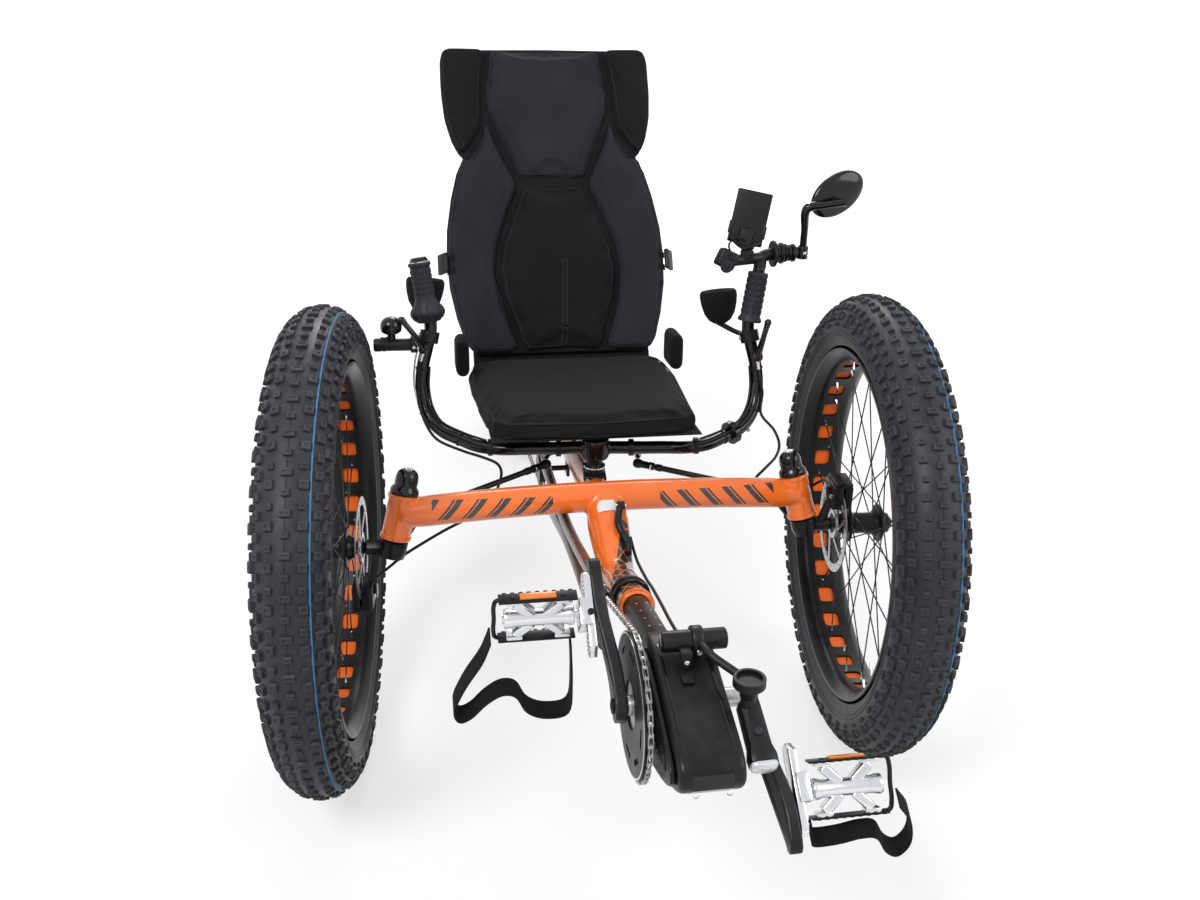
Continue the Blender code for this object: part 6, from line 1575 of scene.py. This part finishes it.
for word, side in SIDES:
    inner = on_bar(side, INNER_BALL)
    outer = kingpin(side, 0.4) + turn_right((-side * 0.019, 0.057, 0))
    along = (outer - inner).normalized()
    span = (outer - inner).length
    shaft = turned("shaft", [(0, 0.004), (0.005, 0.004), (0.005, 0.032), (0.0062, 0.0335), (0.0062,
        0.042), (0.005, 0.0435), (0.005, span - 0.038), (0.0062, span - 0.0365), (0.0062, span
        - 0.029), (0.005, span - 0.0275), (0.005, span - 0.004), (0, span - 0.004)], inner, along,
        24)
    housings = [turned("housing", mm("0 -8, 4.5 -7.2, 7.6 -4, 8.5 0, 7.8 4.5, 6.4 8.5, 6 20, "
        "6.8 21, 6.8 29, 0 30"), place, way, 30, 60) for place, way in ((inner, along), (outer,
        -along))]
    fitted(joined("steering_link_" + word, [shaft] + housings), SATIN_BLACK, "tie_rod_" + word,
        "black_anodised", "tie_rod_" + word)
    for k, (place, way) in enumerate(((inner, along), (outer, -along))):
        fitted(turned(f"link_ring_{word}_{k + 1}", ring_line(0.006, 0.0072, 0, 0.0024), place + way
            * 0.0225, way, 24), SILVER, "tie_rod_" + word)

    fitted(refined("knuckle_body_" + word, "knuckle_" + word, 0.0009, 2), BLACK_METAL, "knuckle_"
        + word, "black_anodised", "knuckle_" + word)
    pin, out = (kingpin(side, WHEEL_R), WHEEL_AXIS * side)
    lift = Vector((0, 0, 0.066)) * side
    caliper = pin + out * 0.049 - turn_right(Y) * 0.02 + lift
    for k, dy in enumerate((-0.015, 0.015)):
        screw(f"caliper_bolt_{word}_{k + 1}", caliper + turn_right(Y) * dy - out * 0.018, -out,
            0.0038, "knuckle_" + word)
    fitted(turned("caliper_dial_" + word, mm("0 0, 10.5 0, 11.2 0.8, 11.2 4, 9.5 5.2, 0 5.4"),
        caliper - out * 0.018, -out, 30), GLOSS_BLACK, "knuckle_" + word)
    fitted(turned("axle_nut_" + word, mm("0 0, 8.5 0, 9.2 0.8, 9.2 3, 7 4, 4 4.2, 4 2, 0 2"), pin
        + out * (WHEEL_OFFSET + 0.046), out, 6, 20), SILVER, "knuckle_" + word)


# Cables

BRAKE = {1: mm("293 182 593.5, 297 180 565, 303.5 173.5 540, 300 161 505, 316.5 135 485, "
    "320 110 468, 308 88 455, 285 65 447, 262 50 433, 254 44 414, 268 38 402, 295 34 401, "
    "326 33 408, 350 25 426, 365 13 442, 369 -4 448"), -1: mm("-272 233 609.6, -279 232 580, "
    "-282 223.5 543, -277.5 207 508, -257.5 181.5 476.5, -218 158 463, -182 132 459, -160 109 456, "
    "-156 85 448, -165 60 433, -185 45 412, -215 40 394, -250 40 376, -285 39 356, -318 33 338, "
    "-348 20 320, -368 6 311")}
for word, side in SIDES:
    route = [at(*p) for p in BRAKE[side]]
    half = 9
    upper = tube("brake_line_upper_" + word, through(route[:half + 1], 3), 0.0024, 12)
    lower = tube("brake_line_lower_" + word, through(route[half:], 3), 0.0024, 12)
    bending(upper, SATIN_BLACK, "black_plastic", ("handlebar", "frame"), route[1], route[half - 1],
        "brake_cable_" + word)
    bending(lower, SATIN_BLACK, "black_plastic", ("frame", "knuckle_" + word), route[half + 1],
        route[-1])
    fitted(turned("line_ferrule_" + word, mm("0 0, 3.6 0, 4 2, 3.2 14, 0 14.5"), route[0], route[1]
        - route[0], 16), SILVER, "handlebar", "black_plastic")
DRIVE = mm("26.5 -85 410, 29.2 -125 393, 31.5 -185 394, 31 -230 404, 28 -300 420, 25 -360 433, "
    "24 -410 443, 25 -444 448")
wire = tube("drive_wire", through([at(*p) for p in DRIVE], 4), 0.0024, 12)
bending(wire, SATIN_BLACK, "black_plastic", ("frame", "boom"), at(*DRIVE[3]), at(*DRIVE[5]),
    "drive_cable")


# Chain, its tubes and wheels

def arc(centre, radius, start, end, steps):
    row = []
    for k in range(steps + 1):
        a = math.radians(start + (end - start) * k / steps)
        row.append((centre[0] + radius * math.cos(a), centre[1] + radius * math.sin(a)))
    return row


def chain_x(y):
    share = (y + 0.315) / 1.565
    return -0.052 - 0.024 * min(max(share, 0.0), 1.0)


UPPER_RUN = mm("-315 444, -10 388, 100 380, 255 377")
LOWER_RUN = mm("-315 370, -10 364, 100 345, 255 315")
chain_row = arc((CRANK_Y, CRANK_Z), 0.0895, 284, 72, 30)
chain_row += UPPER_RUN
chain_row += arc((IDLER_Y, IDLER_Z), 0.03, 92, 84, 2) + [(0.8, 0.4)]
chain_row += arc((REAR_AXLE_Y, WHEEL_R), 0.045, 92, -30, 14)
chain_row += arc((1.272, 0.2925), 0.02, 140, 215, 8)
chain_row += arc((1.252, 0.2335), 0.02, 30, -100, 12) + [(0.8, 0.262)]
chain_row += arc((IDLER_Y, IDLER_Z), 0.03, -82, -94, 2)
chain_row += LOWER_RUN[::-1]
total = sum((math.dist(a, b) for a, b in zip(chain_row, chain_row[1:] + chain_row[:1])))
pairs = round(total / 0.0254)
pitch = total / pairs / 2
outline = [(-pitch / 2 - 0.0029, 0), (-pitch / 2 - 0.0018, 0.0028), (-pitch / 2 + 0.0012, 0.0028),
    (0, 0.0019), (pitch / 2 - 0.0012, 0.0028), (pitch / 2 + 0.0018, 0.0028), (pitch / 2 + 0.0029,
    0), (pitch / 2 + 0.0018, -0.0028), (pitch / 2 - 0.0012, -0.0028), (0, -0.0019), (-pitch / 2
    + 0.0012, -0.0028), (-pitch / 2 - 0.0018, -0.0028)]
links = []
for along, apart in ((0, 0.0018), (pitch, 0.0028)):
    for way in (-1, 1):
        links.append(moved(plate("link", outline, 0.0008), (along + pitch / 2, 0, way * apart)))
for along in (0, pitch):
    links.append(turned("roller", mm("0 -3.2, 1.6 -3.2, 1.6 -1.4, 2.6 -1.4, 2.6 1.4, 1.6 1.4, "
        "1.6 3.2, 0 3.2"), (along, 0, 0), Z, 8))
chain = joined("drive_chain", links)
guide = line("chain_guide", [(y, z, 0) for y, z in chain_row + chain_row[:1]])
edit(guide)
bpy.ops.mesh.remove_doubles(threshold=2e-05)
done()
take(guide)
bpy.ops.object.convert(target="CURVE")
guide = bpy.context.object
guide.data.dimensions = "2D"
guide.data.splines[0].use_cyclic_u = True
applied(chain, "ARRAY", count=pairs, use_relative_offset=False, use_constant_offset=True,
    constant_offset_displace=(2 * pitch, 0, 0))
applied(chain, "CURVE", object=guide, deform_axis="POS_X")
bpy.data.objects.remove(guide)
settle(chain, (0, 0, 0), X, Y)
for vertex in chain.data.vertices:
    vertex.co.x += chain_x(vertex.co.y)
moved(chain, (0, SHIFT, 0))
bending(chain, CHAIN_STEEL, "chain_steel", ("frame", "boom"), at(-0.052, -0.33, 0.4), at(-0.052,
    -0.43, 0.4), "chain")

for name, row in (("drive", UPPER_RUN), ("return", LOWER_RUN)):
    points = [at(chain_x(y), y, z) for y, z in row]
    pipe = tube("chain_pipe_" + name, points, 0.0088, 24)
    inside = tube("bore", [points[0] * 2 - (points[0] * 0.97 + points[1] * 0.03)] + points[1:-1]
        + [points[-1] * 2 - (points[-1] * 0.95 + points[-2] * 0.05)], 0.0064, 20)
    pierced(pipe, inside)
    fitted(pipe, SMOKED, "frame", "smoked_tube", "chain_tube_" + name)
    way = points[1] - points[0]
    fitted(turned("chain_pipe_mouth_" + name, mm("9 0, 10.4 0, 10.8 1, 10.8 13, 9.8 14.5, 9 14.5, "
        "9 0"), points[0] + way.normalized() * 0.02, way, 32), SILVER, "frame", "smoked_tube")

spot = at(chain_x(IDLER_Y), IDLER_Y, IDLER_Z)
fitted(turned("idler_pulley", mm("5.6 -5, 28.5 -5.6, 29.4 -5, 26.2 -3.6, 26.2 3.6, 29.4 5, "
    "28.5 5.6, 5.6 5, 5.6 -5"), spot, X, 56), SATIN_BLACK, "idler", "black_plastic", "idler_wheel")
hub = at(-0.076, REAR_AXLE_Y, WHEEL_R)
stack = []
for k, (r, x) in enumerate(mm("25 -9.5, 33 -5, 41.1 0, 47 4.5, 51 8.5")):
    sprocket = turned("sprocket", ring_line(0.0078, r - 0.003, x - 0.0008, x + 0.0008), hub, X, 48)
    count = 11 + 3 * k
    cog = block("cog", (0.0014, r * 3.1 / count, 0.0058), hub + Vector((x, 0, r - 0.003)),
        bevel=0.0006)
    stack += [sprocket, ring_of(cog, count, hub, (1, 0, 0))]
fitted(joined("sprocket_stack", stack), CHAIN_STEEL, "cassette", "chain_steel", "cassette")
fitted(refined("derailleur_body", "rear_derailleur", 0.0009, 2), BLACK_METAL, "frame",
    "black_anodised", "rear_derailleur")


# Solids that keep their own shape

PLAIN = {"orange_paint": ORANGE, "black_paint": GLOSS_BLACK, "black_anodised": BLACK_METAL,
    "bright_aluminium": SILVER, "chain_steel": CHAIN_STEEL, "tyre_rubber": RUBBER,
    "grip_rubber": GRIP, "black_plastic": SATIN_BLACK, "grey_fabric": GREY_CLOTH,
    "black_fabric": BLACK_CLOTH, "black_webbing": WEBBING, "clear_lens": LENS,
    "smoked_tube": SMOKED}
for name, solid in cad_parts.items():
    for place in solid.material_slots:
        word = place.material.name.split(".")[0] if place.material else "black_plastic"
        place.material = PLAIN.get(word, SATIN_BLACK)


# Floor, backdrop and light

deselect()
bpy.ops.mesh.primitive_circle_add(vertices=64, radius=70, fill_type="NGON")
floor = bpy.context.object
floor.name = "floor"
pale, tree, shader = shader_of("pale_floor")
plug(tree, blended(tree, noise(tree, object_place(tree), 3.0), (0.38, 0.38, 0.38, 1), (0.4, 0.4,
    0.4, 1)), shader.inputs["Base Color"])
preset(shader, {"Roughness": 0.9, "Emission Color": (1, 1, 1, 1)})
far = tree.nodes.new("ShaderNodeVectorMath")
far.operation = "LENGTH"
plug(tree, object_place(tree), far.inputs[0])
glow = between(tree, far.outputs["Value"], 1.2, 4.0, 0.62, 1.0)
plug(tree, sums(tree, "MAXIMUM", sums(tree, "MULTIPLY", direct_rays(tree), glow), 0.14),
    shader.inputs["Emission Strength"])
floor.data.materials.append(pale)
floor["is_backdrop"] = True

world = bpy.data.worlds.new("studio")
bpy.context.scene.world = world
world.use_nodes = True
tree = world.node_tree
backdrop = tree.nodes["Background"]
backdrop.inputs["Color"].default_value = (1, 1, 1, 1)
plug(tree, between(tree, direct_rays(tree), 0.0, 1.0, 0.47, 1.0), backdrop.inputs["Strength"])


def lamp(name, place, towards, power, size):
    deselect()
    bpy.ops.object.light_add(type="AREA")
    light = bpy.context.object
    light.name = name
    light.data.energy = power
    light.data.shape = "DISK"
    light.data.size = size
    aim = (Vector(towards) - Vector(place)).normalized()
    light.matrix_world = Matrix.Translation(place) @ aim.to_track_quat("-Z",
        "Y").to_matrix().to_4x4()


lamp("key_lamp", (-2.6, -3.2, 4.2), (0, -0.3, 0.4), 170, 2.2)
lamp("fill_lamp", (3.2, -2.4, 2.6), (0, -0.3, 0.5), 60, 2.6)
lamp("back_lamp", (0.6, 3.4, 3.4), (0, 0, 0.6), 70, 2.0)

view = bpy.context.scene.view_settings
view.view_transform = "Standard"

low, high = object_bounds()
